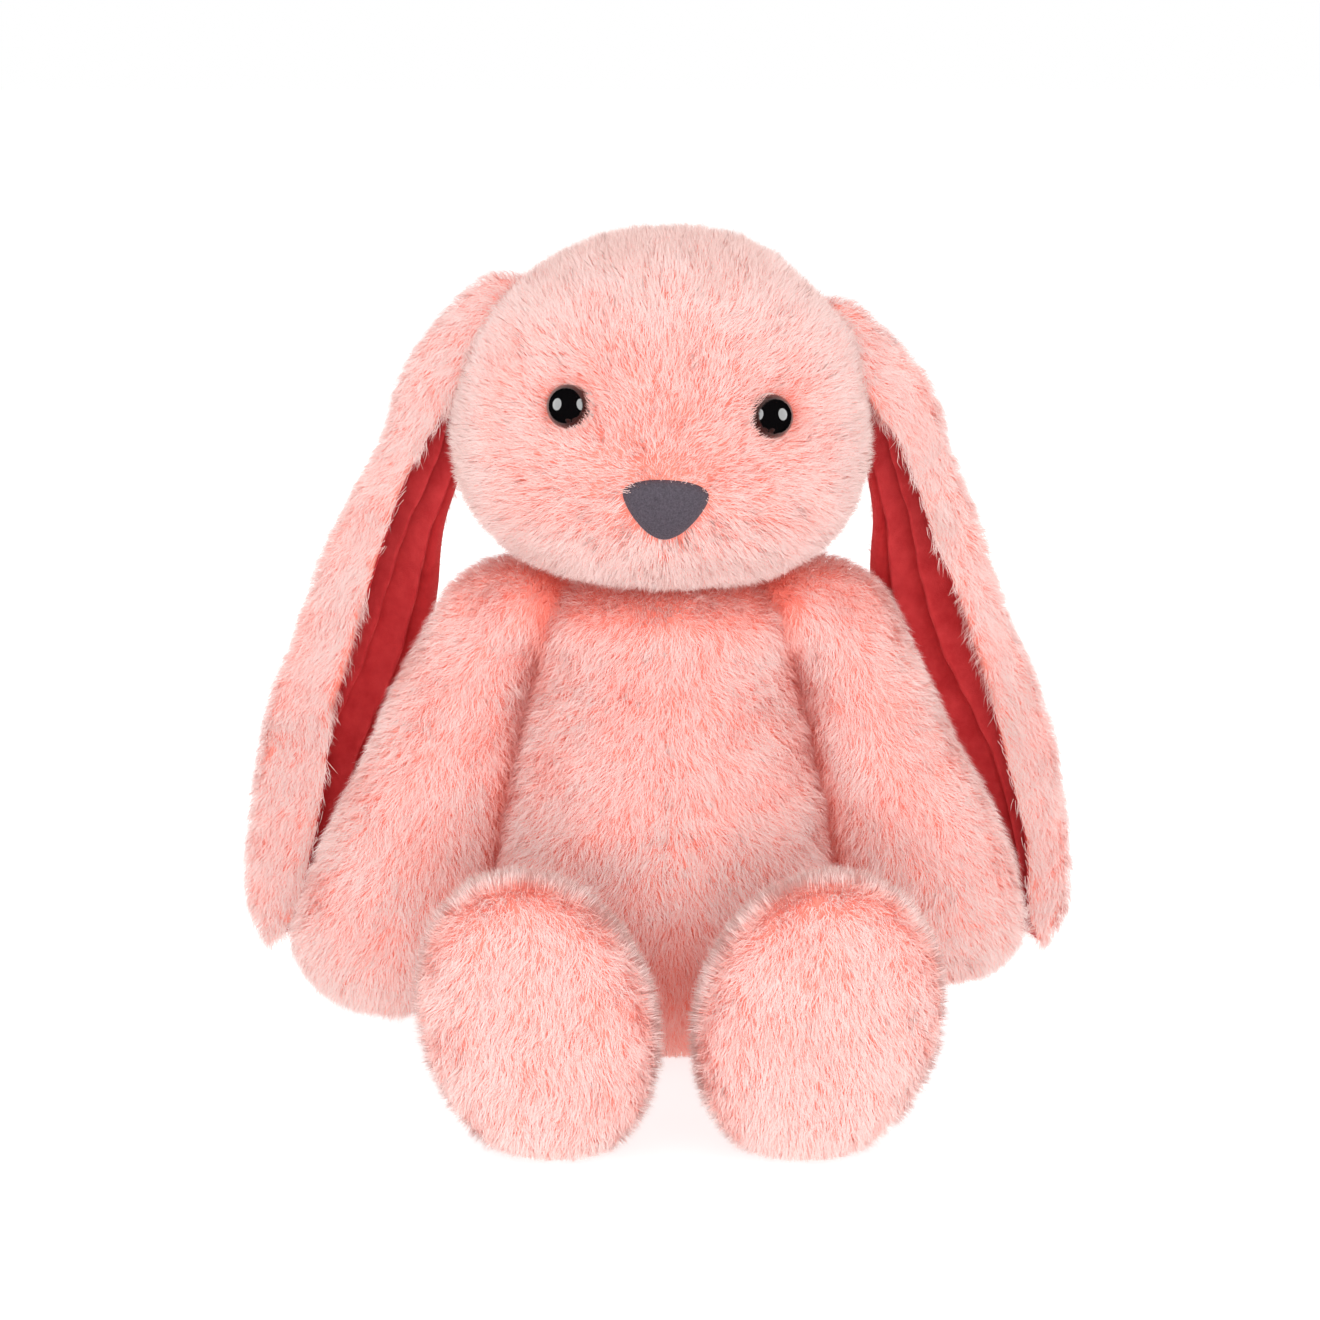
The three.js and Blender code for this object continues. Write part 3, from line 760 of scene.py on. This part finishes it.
# ---- ears ----
def spline(stations, shares):
    """A smooth curve through the stations, and its direction, at shares from 0 to 1."""
    points = np.array(stations, dtype=float)
    before, after = 2 * points[0] - points[1], 2 * points[-1] - points[-2]
    points = np.concatenate([[before], points, [after]])
    place = np.clip(shares, 0, 1) * (len(points) - 3)
    piece = np.minimum(place.astype(int), len(points) - 4)
    t = (place - piece)[:, None]
    a, b, c, d = (points[piece + i] for i in range(4))
    out, back = (c - a) / 2, (d - b) / 2
    square, cube = t * t, t * t * t
    at = b + out * t + (3 * (c - b) - 2 * out - back) * square + (2 * (b - c) + out + back) * cube
    way = out + 2 * (3 * (c - b) - 2 * out - back) * t + 3 * (2 * (b - c) + out + back) * square
    return at, way


class Ear:
    """A folded sheet. share runs down it from 0 to 1, and across runs round the fold from -1 to 1."""

    def __init__(self, stations, side):
        self.stations, self.side = stations, side

    def place(self, share, across, distance, trim=0.0):
        """Points in millimetres, the way down the ear, and the direction out of the fold."""
        at, way = spline(self.stations, share)
        spine, tangent = at[:, :3], unit(way[:, :3])
        width = np.where(across < 0, at[:, 3], at[:, 4]) - trim
        w = across * width
        rear = unit(np.array([0, 1.0, 0]) - tangent * tangent[:, 1:2])
        inward = unit(np.cross(rear, tangent))
        lean, bend = math.sin(EAR_FOLD), EAR_BEND
        tanh = np.tanh(w / bend)
        depth = math.cos(EAR_FOLD) * (np.hypot(w, bend) - bend)
        run = w * lean + (1 - lean) * bend * tanh
        slope_in = math.cos(EAR_FOLD) * w / np.hypot(w, bend)
        slope_run = lean + (1 - lean) * (1 - tanh**2)
        out = unit(rear * slope_in[:, None] - inward * slope_run[:, None])
        raised = out * np.reshape(distance, (-1, 1))
        points = spine + inward * depth[:, None] + rear * run[:, None] + raised
        mirror = np.array([self.side, 1, 1])
        return points * mirror, tangent * mirror, out * mirror

    def waves(self, share, across):
        """Slow ripples in the cloth, in millimetres."""
        wide = 0.9 * np.sin(share * 17 + across * 2) * np.abs(across)
        return wide + 0.5 * np.sin(share * 31 - across * 3)


def sheet_mesh(name, ear, outer, inner, trim, fold=None, rows=150, columns=44):
    """A closed sheet with rounded edges between two distances from the ear's middle surface."""
    share = np.linspace(0, 1, rows)
    across = np.linspace(-1, 1, columns)
    across = np.sign(across) * np.abs(across) ** FOLD_CROWDING
    s, a = (grid.ravel() for grid in np.meshgrid(share, across, indexing="ij"))
    wave = ear.waves(s, a)
    extra = fold(s, a) if fold else 0
    faces_out = ear.place(s, a, outer + wave + extra, trim)[0]
    faces_in = ear.place(s, a, inner + wave + extra, trim)[0]
    middle = ear.place(s, a, (outer + inner) / 2 + wave + extra, trim - abs(outer - inner) / 2)[0]
    rim = [(0, c) for c in range(columns)] + [(r, columns - 1) for r in range(1, rows)]
    rim += [(rows - 1, c) for c in range(columns - 2, -1, -1)] + [(r, 0) for r in range(rows - 2, 0, -1)]
    rim = np.array([r * columns + c for r, c in rim])
    points = np.concatenate([faces_out, faces_in, middle[rim]])
    count = rows * columns
    faces = []
    for r in range(rows - 1):
        for c in range(columns - 1):
            i = r * columns + c
            quad = (i, i + columns, i + columns + 1, i + 1)
            faces.append(quad)
            faces.append(tuple(count + j for j in reversed(quad)))
    for number, vertex in enumerate(rim):
        after = (number + 1) % len(rim)
        edge, next_edge = 2 * count + number, 2 * count + after
        faces.append((int(vertex), int(rim[after]), next_edge, edge))
        faces.append((edge, next_edge, count + int(rim[after]), count + int(vertex)))
    mesh = bpy.data.meshes.new(name)
    mesh.from_pydata([tuple(p) for p in points * MM], [], faces)
    bm = bmesh.new()
    bm.from_mesh(mesh)
    bmesh.ops.recalc_face_normals(bm, faces=bm.faces)
    bpy.data.meshes.remove(mesh)
    return finished_mesh(name, bm)


def flat_size(ear, trim):
    """The width and length of the cloth laid flat, and its own area, in metres."""
    share = np.linspace(0, 1, 200)
    at, _ = spline(ear.stations, share)
    width = at[:, 3] + at[:, 4] - 2 * trim
    steps = np.linalg.norm(np.diff(at[:, :3], axis=0), axis=1)
    area = float(((width[1:] + width[:-1]) / 2 * steps).sum())
    return (float(width.max()) * MM, float(steps.sum()) * MM), area * MM**2


def lining_folds(share, across):
    """Pleats down the lining's hanging half. Each rises slowly across it and ends in a sharp edge."""
    strength = np.clip(across * 4, 0, 1) * np.clip((share - 0.08) / 0.12, 0, 1)
    edge = PLEAT_LINE - 0.5 * np.clip(share - 0.35, 0, 0.35)
    place = (across - edge) / PLEAT_WIDTH % 1
    height = np.where(place < PLEAT_DROP, 1 - place / PLEAT_DROP, (place - PLEAT_DROP) / (1 - PLEAT_DROP))
    return -PLEAT_HEIGHT * strength * height * np.clip((1 - across) / PLEAT_END, 0, 1)


def add_ear_layer(ear, body, slot, panel, material, outer, inner, trim, **style):
    name = f"{body}_{slot}"
    cloth = new_object(name, sheet_mesh(name, ear, outer, inner, trim, **style), body, material)
    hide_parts(f"{body}_{panel}")


def ear_strands(ear, seed):
    """The pile on the outside of an ear and round its edges, lying down its length."""
    rng = np.random.default_rng(seed)
    _, area = flat_size(ear, 0)
    tufts = int(area / MM**2 * DENSITY / STRANDS_PER_TUFT * EAR_EXTRA)
    share, across = even_pairs(tufts * EAR_TUFTS_DRAWN, rng)
    at, way = spline(ear.stations, share)
    pace = np.linalg.norm(way[:, :3], axis=1)
    weight = (at[:, 3] + at[:, 4]) * pace
    keep = rng.random(len(share)) < weight / weight.max()
    share, across = share[keep][:tufts], across[keep][:tufts]
    at, _ = spline(ear.stations, share)
    front, back = at[:, 3], at[:, 4]
    w = (across * 0.5 + 0.5) * (front + back + 2) - front - 1
    across = np.where(w < 0, w / front, w / back)
    height = EAR_CLOTH / 2 - EAR_ROOT_DEPTH + ear.waves(share, across)
    points, down, out = ear.place(share, across, height)
    edge = np.clip((np.abs(across) - 0.9) / 0.1, 0, 1)[:, None]
    ahead = ear.place(share, across + 0.02 * np.sign(across), EAR_CLOTH / 2)[0]
    sideways = unit(ahead - points)
    normals = unit(out * (1 - 0.55 * edge) + sideways * 0.75 * edge)
    # Paler towards the beige at the ear's edges, as painted sheen and shade of fur seen edge-on. The half
    # behind the fold is a little paler.
    shades = 2.6 + 0.8 * edge[:, 0] + 0.4 * (across > 0)
    return strands_at(points * MM, normals, down + 0.2 * sideways, shades, rng, seed, lift=0.6)


def even_pairs(count, rng):
    """Evenly spread pairs, the first from 0 to 1 and the second from -1 to 1."""
    number = np.arange(count) + rng.random()
    first, second = (number * step % 1 for step in EVEN_STEPS)
    order = rng.permutation(count)
    return first[order], second[order] * 2 - 1


# ---- face ----
def front_hit(tree, x, z):
    """The head's surface straight behind a place in front of the face, in millimetres."""
    point, normal, _, _ = tree.ray_cast(Vector((x * MM, FACE_FROM, z * MM)), Vector((0, 1, 0)))
    return np.array(point) / MM, np.array(normal)


def eye_centre(node):
    points = vertex_array(frame["nodes"][node].data) / MM
    front = points[points[:, 1] < points[:, 1].min() + 5]
    return (front.min(0) + front.max(0)) / 2


def skin(bm, loops, count):
    """Faces between each loop of points and the next. A loop of one point closes an end."""
    for low, high in zip(loops, loops[1:]):
        for step in range(count):
            after = (step + 1) % count
            corners = [low[step % len(low)], low[after % len(low)],
                       high[after % len(high)], high[step % len(high)]]
            bm.faces.new(list(dict.fromkeys(corners)))
    bmesh.ops.recalc_face_normals(bm, faces=bm.faces)


def lathe(name, profile, centre, axis, steps=40):
    """A closed turned shape; profile is (radius, height) from pole to pole, in millimetres."""
    axis = Vector(axis).normalized()
    turn = axis.to_track_quat("Z", "Y")
    bm = bmesh.new()
    rings = []
    for radius, height in profile:
        if radius == 0:
            rings.append([bm.verts.new(turn @ Vector((0, 0, height * MM)) + Vector(centre) * MM)])
            continue
        ring = []
        for step in range(steps):
            angle = 2 * math.pi * step / steps
            local = Vector((radius * math.cos(angle), radius * math.sin(angle), height)) * MM
            ring.append(bm.verts.new(turn @ local + Vector(centre) * MM))
        rings.append(ring)
    skin(bm, rings, steps)
    return finished_mesh(name, bm)


def make_eye(side, tree, material):
    node = f"eye_{side}"
    x, _, z = eye_centre(node)
    point, normal = front_hit(tree, x, z)
    normal = unit(normal + np.array([0, -0.8, 0]))
    centre = point + normal * EYE_PROUD
    profile = [(0, EYE_RADIUS)]
    for step in range(1, EYE_DOME_STEPS + 1):
        angle = step * EYE_DOME_STEP
        profile.append((EYE_RADIUS * math.sin(angle), EYE_RADIUS * math.cos(angle)))
    name = f"eye_{side}_dome"
    eye = new_object(name, lathe(name, profile + EYE_SHANK, centre, normal), "head", material)
    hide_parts(node)


def nose_outline(spokes):
    """Points round the nose, in millimetres from its middle: a triangle with soft corners."""
    right = NOSE_EDGE[1:-1]
    loop = NOSE_EDGE + [(-x, z) for x, z in reversed(right)]
    ring = loop + loop[:3]
    steps = np.linspace(0, len(loop), spokes, endpoint=False) / (len(ring) - 1)
    at, _ = spline([loop[-1]] + ring, (steps * (len(ring) - 1) + 1) / len(ring))
    return at


def make_nose(tree, material):
    spokes, rings = 72, 16
    outline = nose_outline(spokes)

    def spot(spoke, share, height):
        dx, dz = outline[spoke % spokes] * share
        x = NOSE_MIDDLE[0] + dx * math.cos(NOSE_LEAN) + dz * math.sin(NOSE_LEAN)
        z = NOSE_MIDDLE[1] - dx * math.sin(NOSE_LEAN) + dz * math.cos(NOSE_LEAN)
        point, normal = front_hit(tree, x, z)
        return point + unit(normal + np.array([0, -0.6, 0])) * height

    bm = bmesh.new()

    def loop_at(share, height, count=spokes):
        return [bm.verts.new(Vector(spot(spoke, share, height)) * MM) for spoke in range(count)]

    loops = [loop_at(0, NOSE_PROUD, 1)]
    for ring in range(1, rings + 1):
        share = ring / rings
        loops.append(loop_at(share, NOSE_PROUD * (1 - share**4) ** 0.6))
    loops += [loop_at(1, -NOSE_SUNK), loop_at(0.5, -NOSE_SUNK), loop_at(0, -NOSE_SUNK, 1)]
    skin(bm, loops, spokes)
    nose = new_object("nose_cushion", finished_mesh("nose_cushion", bm), "head", material)
    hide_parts("nose_patch", "nose_padding")


# ---- which way the pile lies ----
def head_flow(points):
    away = unit(points - NOSE_ROOT)
    behind = np.clip(points[:, 1:2] / 40, 0, 1)
    return away * (1 - behind) + np.array([0, 0.2, -1.0]) * behind


def body_flow(points):
    return unit(points - NECK_ROOT) * np.array([1.3, 1, 1])


def arm_flow(points):
    side = np.sign(points[:, :1])
    x, y, z = SHOULDER_ROOT
    shoulder = side * np.array([x, 0, 0]) + np.array([0, y, z])
    return unit(unit(points - shoulder) + np.array([0, 0, -0.6]))


def leg_flow(points):
    sole = points[:, 1:2] < SOLE_SEAM_Y
    down = np.sign(points[:, :1]) * np.array([0.12, 0, 0]) + np.array([0, 0, -1.0])
    near_seam = points[:, 1:2] < SOLE_SEAM_Y + 7
    return np.where(sole, down, np.where(near_seam, np.array([0, 1.0, 0.2]), np.array([0, -1.0, -0.3])))


def tail_flow(points):
    return unit(points - TAIL_ROOT) + np.array([0, 0.4, 0])


def neck_flow(points):
    return np.tile(np.array([0, 0, -1.0]), (len(points), 1))


# ---- how pale the pile is: -1 in the deepest creases, 3 the palest and 4 beige; the creases' deep tones and the rims' beige are painted shade and sheen ----
def rising(value, start, end):
    t = np.clip((value - start) / (end - start), 0, 1)
    return t * t * (3 - 2 * t)


def head_tone(points, normals):
    # Painted light and shade: the crown and the sides go towards the beige as painted sheen and shade of
    # fur seen edge-on, the underside of the chin is painted paler as light from below, and painted shade
    # darkens the fur at the edge of each eye's dimple.
    rim = rising(normals[:, 2], 0.3, 1.05) + rising(np.abs(normals[:, 0]), 0.65, 1.05)
    chin_painted_light = rising(-normals[:, 2], 0.3, 0.8)
    near_nose = np.exp(-((np.linalg.norm(points - NOSE_PALE, axis=1) / 20) ** 2))
    eye_edge_painted_shade = np.exp(-((to_nearest_eye(points) - EYE_RADIUS) / 2.5) ** 2) * (points[:, 1] < FACE_FRONT_Y)
    return 2.15 + 1.9 * rim + 1.1 * chin_painted_light + 0.5 * near_nose - 1.4 * eye_edge_painted_shade


def body_tone(points, normals):
    x, y, z = points.T
    # Painted shade: the pile goes to deep salmon in the creases beside the arms, at the neckline under the
    # chin and low on the front between the legs. The lower body is painted paler, as painted light where
    # it lies in shade.
    middle = np.exp(-((x / 9) ** 2)) * (y < 0) * rising(z, 40, 90)
    edge = np.interp(z, CREASE_HEIGHTS, BODY_CREASE_X)
    crease_painted_shade = rising(np.abs(x) - edge, -7, 3) + 0.32 * rising(z, 150, 160)
    low = rising(-z, -75, -20) * (y < 0)
    belly_painted_light = rising(-z, -100, -50)
    pale = np.minimum(2.3 + 0.8 * middle + 0.9 * belly_painted_light, 2.9)
    return pale - 2.9 * np.minimum(crease_painted_shade + 0.9 * low, 1.2)


def arm_tone(points, normals):
    x, _, z = points.T
    # Painted shade: the pile goes to deep salmon on the arm's inner side against the body and at the
    # shoulder under the head. It is paler towards the arm's outer side.
    edge = np.interp(z, CREASE_HEIGHTS, ARM_CREASE_X)
    inner = rising(edge - np.abs(x), -5, 5) + 0.25 * rising(z, 150, 170)
    return 2.35 + 0.4 * rising(np.abs(x), 80, 115) - 2.8 * np.minimum(inner, 1.2)


def leg_tone(points, normals):
    # The front of the leg near the sole goes towards the beige, as painted sheen and shade of fur seen
    # edge-on at the foot's rim. The pile is darker along the sole's seam and a little paler on the sole.
    y = points[:, 1]
    sole = y < SOLE_SEAM_Y
    rim = rising(-y, 104, 124) * ~sole
    seam = np.exp(-(((y - SOLE_SEAM_Y) / 4) ** 2))
    return 2.4 + 1.4 * rim + 0.4 * sole - 1.8 * seam


def even_tone(value):
    return lambda points, normals: np.full(len(points), value)


# ---- how upright and how long the pile is ----
def head_stand(points):
    away = np.linalg.norm(points - NOSE_SHORT, axis=1)
    near = np.exp(-((away / 26) ** 2))
    face = np.exp(-((away / 60) ** 2))
    return 0.85 + 0.2 * near, PILE_LENGTH * (1 - 0.15 * face - 0.1 * near), 0.55 + 0.1 * near


def leg_stand(points):
    rim = np.exp(-(((points[:, 1] - SOLE_SEAM_Y - 6) / 9) ** 2)) * (points[:, 1] > SOLE_SEAM_Y)
    return 0.8 + 0.6 * rim, PILE_LENGTH * (1 - 0.1 * rim), 0.5 + 0.5 * rim


# ---- shapes that stuffing gives the covers ----
def fuller_head(points):
    """The crown leans a little to the toy's left."""
    points = points.copy()
    x, _, z = points.T
    x += 4 * rising(z, 225, 290)
    x -= 4.5 * rising(x, 22, 48) * rising(z, 248, 268)
    return points


def fuller_body(points):
    """Plump sides, which the arms press on."""
    points = points.copy()
    x, _, z = points.T
    sides = np.exp(-(((z - 78) / 42) ** 2)) * np.clip(np.abs(x) / 50, 0, 1)
    x += np.sign(x) * 2 * sides
    return points


def fuller_arm(points):
    """The inner side of the arm pressed against the body, and a plump hand."""
    points = points.copy()
    x, _, z = points.T
    side = np.sign(x.mean())
    reach = x * side
    inner = rising(-reach, -96, -72) * np.exp(-(((z - 93) / 46) ** 2))
    hand = rising(reach, 88, 112) * np.exp(-(((z - 34) / 17) ** 2))
    squeeze = ARM_SQUEEZE["left" if side > 0 else "right"]
    x += side * (HAND_FULLNESS * hand - squeeze * inner)
    return points


# ---- build ----
make_camera()
make_studio()
make_floor()
backing = fur_backing_material()
pile_materials = strand_materials()
velour = velour_material()
filling = filling_material()
nose_cloth = nose_material()
gloss = eye_material()
plain = {"velour": velour, "fur": backing, "filling": filling, "nose_cloth": nose_cloth,
         "eye_black": gloss, "washer_plastic": plastic_material(), "calico": calico_material()}
slot_of = {part["node"]: part["material_slot"] for part in frame["record"]["subparts"]}
for node, obj in frame["nodes"].items():
    obj.data.materials.clear()
    obj.data.materials.append(plain[slot_of[node]])

SIDES = ("left", "right")
forms = {"head": Form("head", ["head_filling"], HEAD_PLUGS, fuller_head),
         "body": Form("body", ["body_filling", "bean_pouch"], BODY_PLUGS, fuller_body),
         "tail": Form("tail", ["tail_filling"]),
         "neck": Form("neck", ["neck_filling"])}
for side in SIDES:
    (x, y, z), size = ARM_PLUG
    plug = ((x if side == "left" else -x, y, z), size)
    forms["arm_" + side] = Form("arm_" + side, [f"arm_{side}_filling"], [plug], fuller_arm)
    forms["leg_" + side] = Form("leg_" + side, [f"leg_{side}_filling"])
swell(list(forms.values()))


def finish_form(name, seams, panel_of, covers, body, flow, tone, seed, **pile):
    """Seams, covers and pile over one form. covers is a list of (name, CAD nodes replaced)."""
    form = forms[name]
    pull_in_seams(form.mesh, seams)
    fine = subdivided(form.mesh)
    cut_covers(fine, panel_of, covers, body, backing)
    strands = grow(fine, flow, seed, tone, **pile)
    panel = panel_of(strands["root"] / MM)
    for number, (label, _) in enumerate(covers):
        add_pile(f"{label}_pile", body, split_strands(strands, panel == number), pile_materials)
    return fine


def one_panel(points):
    return np.zeros(len(points), int)


def front_and_back(seam_y):
    return lambda points: (points[:, 1] > seam_y).astype(int)


def seam_at(seam_y, strength):
    return lambda points: (points[:, 1] - seam_y, strength)


def bvh(mesh):
    bm = bmesh.new()
    bm.from_mesh(mesh)
    tree = BVHTree.FromBMesh(bm)
    bm.free()
    return tree


# ---- the head, with dimples round the eyes ----
eyes = {side: eye_centre(f"eye_{side}") for side in SIDES}


def to_nearest_eye(points):
    """Distance from the nearer eye, seen from the front."""
    return np.min([np.hypot(points[:, 0] - e[0], points[:, 2] - e[2]) for e in eyes.values()], axis=0)


def eye_dimples(points):
    """Pulls the face in round both eyes, where their shanks are fastened."""
    front = points[:, 1] < FACE_FRONT_Y
    return to_nearest_eye(points) / DIMPLE_SPREAD, np.where(front, DIMPLE_DEPTH, 0)


def clear_of_face(points):
    """No pile where the eyes and the nose sit."""
    front = points[:, 1] < FACE_FRONT_Y
    near_eye = to_nearest_eye(points) < EYE_CLEARANCE
    x, z = points[:, 0] - NOSE_MIDDLE[0], points[:, 2] - NOSE_MIDDLE[1]
    edge = np.array(NOSE_EDGE)[::-1]
    near_nose = np.abs(x) < np.interp(z, edge[:, 1] * 1.03, edge[:, 0], left=0, right=0)
    return ~(front & (near_eye | near_nose))


head_fine = finish_form(
    "head", [seam_at(HEAD_SEAM_Y, 0.8), eye_dimples], front_and_back(HEAD_SEAM_Y),
    [("head_front", ["head_front_panel", "head_filling"]), ("head_back", ["head_back_panel"])],
    "head", head_flow, head_tone, SEEDS["head"], keep=clear_of_face, stand=head_stand)
face = bvh(head_fine)
for side in SIDES:
    make_eye(side, face, gloss)
make_nose(face, nose_cloth)

# ---- the torso and the neck ----
BODY_NAMES = ["body_front_left", "body_front_right", "body_back_left", "body_back_right"]


def back_seam(points):
    """The seam down the middle of the back."""
    far = 99
    return np.where(points[:, 1] > 0, points[:, 0], far), 0.6


def body_panel(points):
    """The four quarters in the order of BODY_NAMES, then the base."""
    quarter = np.where(points[:, 1] > BODY_SEAM_Y, 2, 0) + np.where(points[:, 0] > 0, 0, 1)
    return np.where(points[:, 2] < BASE_TOP, 4, quarter)


finish_form(
    "body", [seam_at(BODY_SEAM_Y, 0.8), back_seam], body_panel,
    [(name, [name + "_panel"]) for name in BODY_NAMES]
    + [("body_base", ["body_base_panel", "body_filling"])],
    "torso", body_flow, body_tone, SEEDS["body"])
finish_form(
    "tail", [], one_panel, [("tail", ["tail_panel", "tail_filling"])],
    "torso", tail_flow, even_tone(2.4), SEEDS["tail"], lift=0.95)
# The neck's pile is a deep salmon all over: painted shade under the head.
finish_form(
    "neck", [], one_panel, [("neck", ["neck_filling"])],
    "neck", neck_flow, even_tone(0.6), SEEDS["neck"], lift=0.4, length=NECK_PILE_LENGTH)

# ---- the arms, the legs and the ears ----
for number, side in enumerate(SIDES):
    finish_form(
        f"arm_{side}", [seam_at(ARM_SEAM_Y, 0.8)], front_and_back(ARM_SEAM_Y),
        [(f"arm_{side}_front", [f"arm_{side}_front_panel", f"arm_{side}_filling"]),
         (f"arm_{side}_back", [f"arm_{side}_back_panel"])],
        f"arm_{side}", arm_flow, arm_tone, SEEDS["arm"] + number)
    finish_form(
        f"leg_{side}", [seam_at(SOLE_SEAM_Y, 0.7)], lambda p: (p[:, 1] < SOLE_SEAM_Y).astype(int),
        [(f"leg_{side}", [f"leg_{side}_panel", f"leg_{side}_filling"]),
         (f"foot_{side}_sole", [f"foot_{side}_sole"])],
        f"leg_{side}", leg_flow, leg_tone, SEEDS["leg"] + number, stand=leg_stand)

    ear = Ear(LEFT_EAR, 1) if side == "left" else Ear(RIGHT_EAR, -1)
    top = EAR_CLOTH / 2
    add_ear_layer(ear, f"ear_{side}", "fur", "fur_panel", backing, top, top - EAR_CLOTH, 0)
    top = -EAR_CLOTH / 2 - LINING_GAP
    add_ear_layer(ear, f"ear_{side}", "velour", "lining", velour, top, top - LINING, LINING_TRIM,
                  fold=lining_folds, columns=LINING_COLUMNS)
    add_pile(f"ear_{side}_pile", f"ear_{side}", ear_strands(ear, SEEDS["ear"] + number), pile_materials)
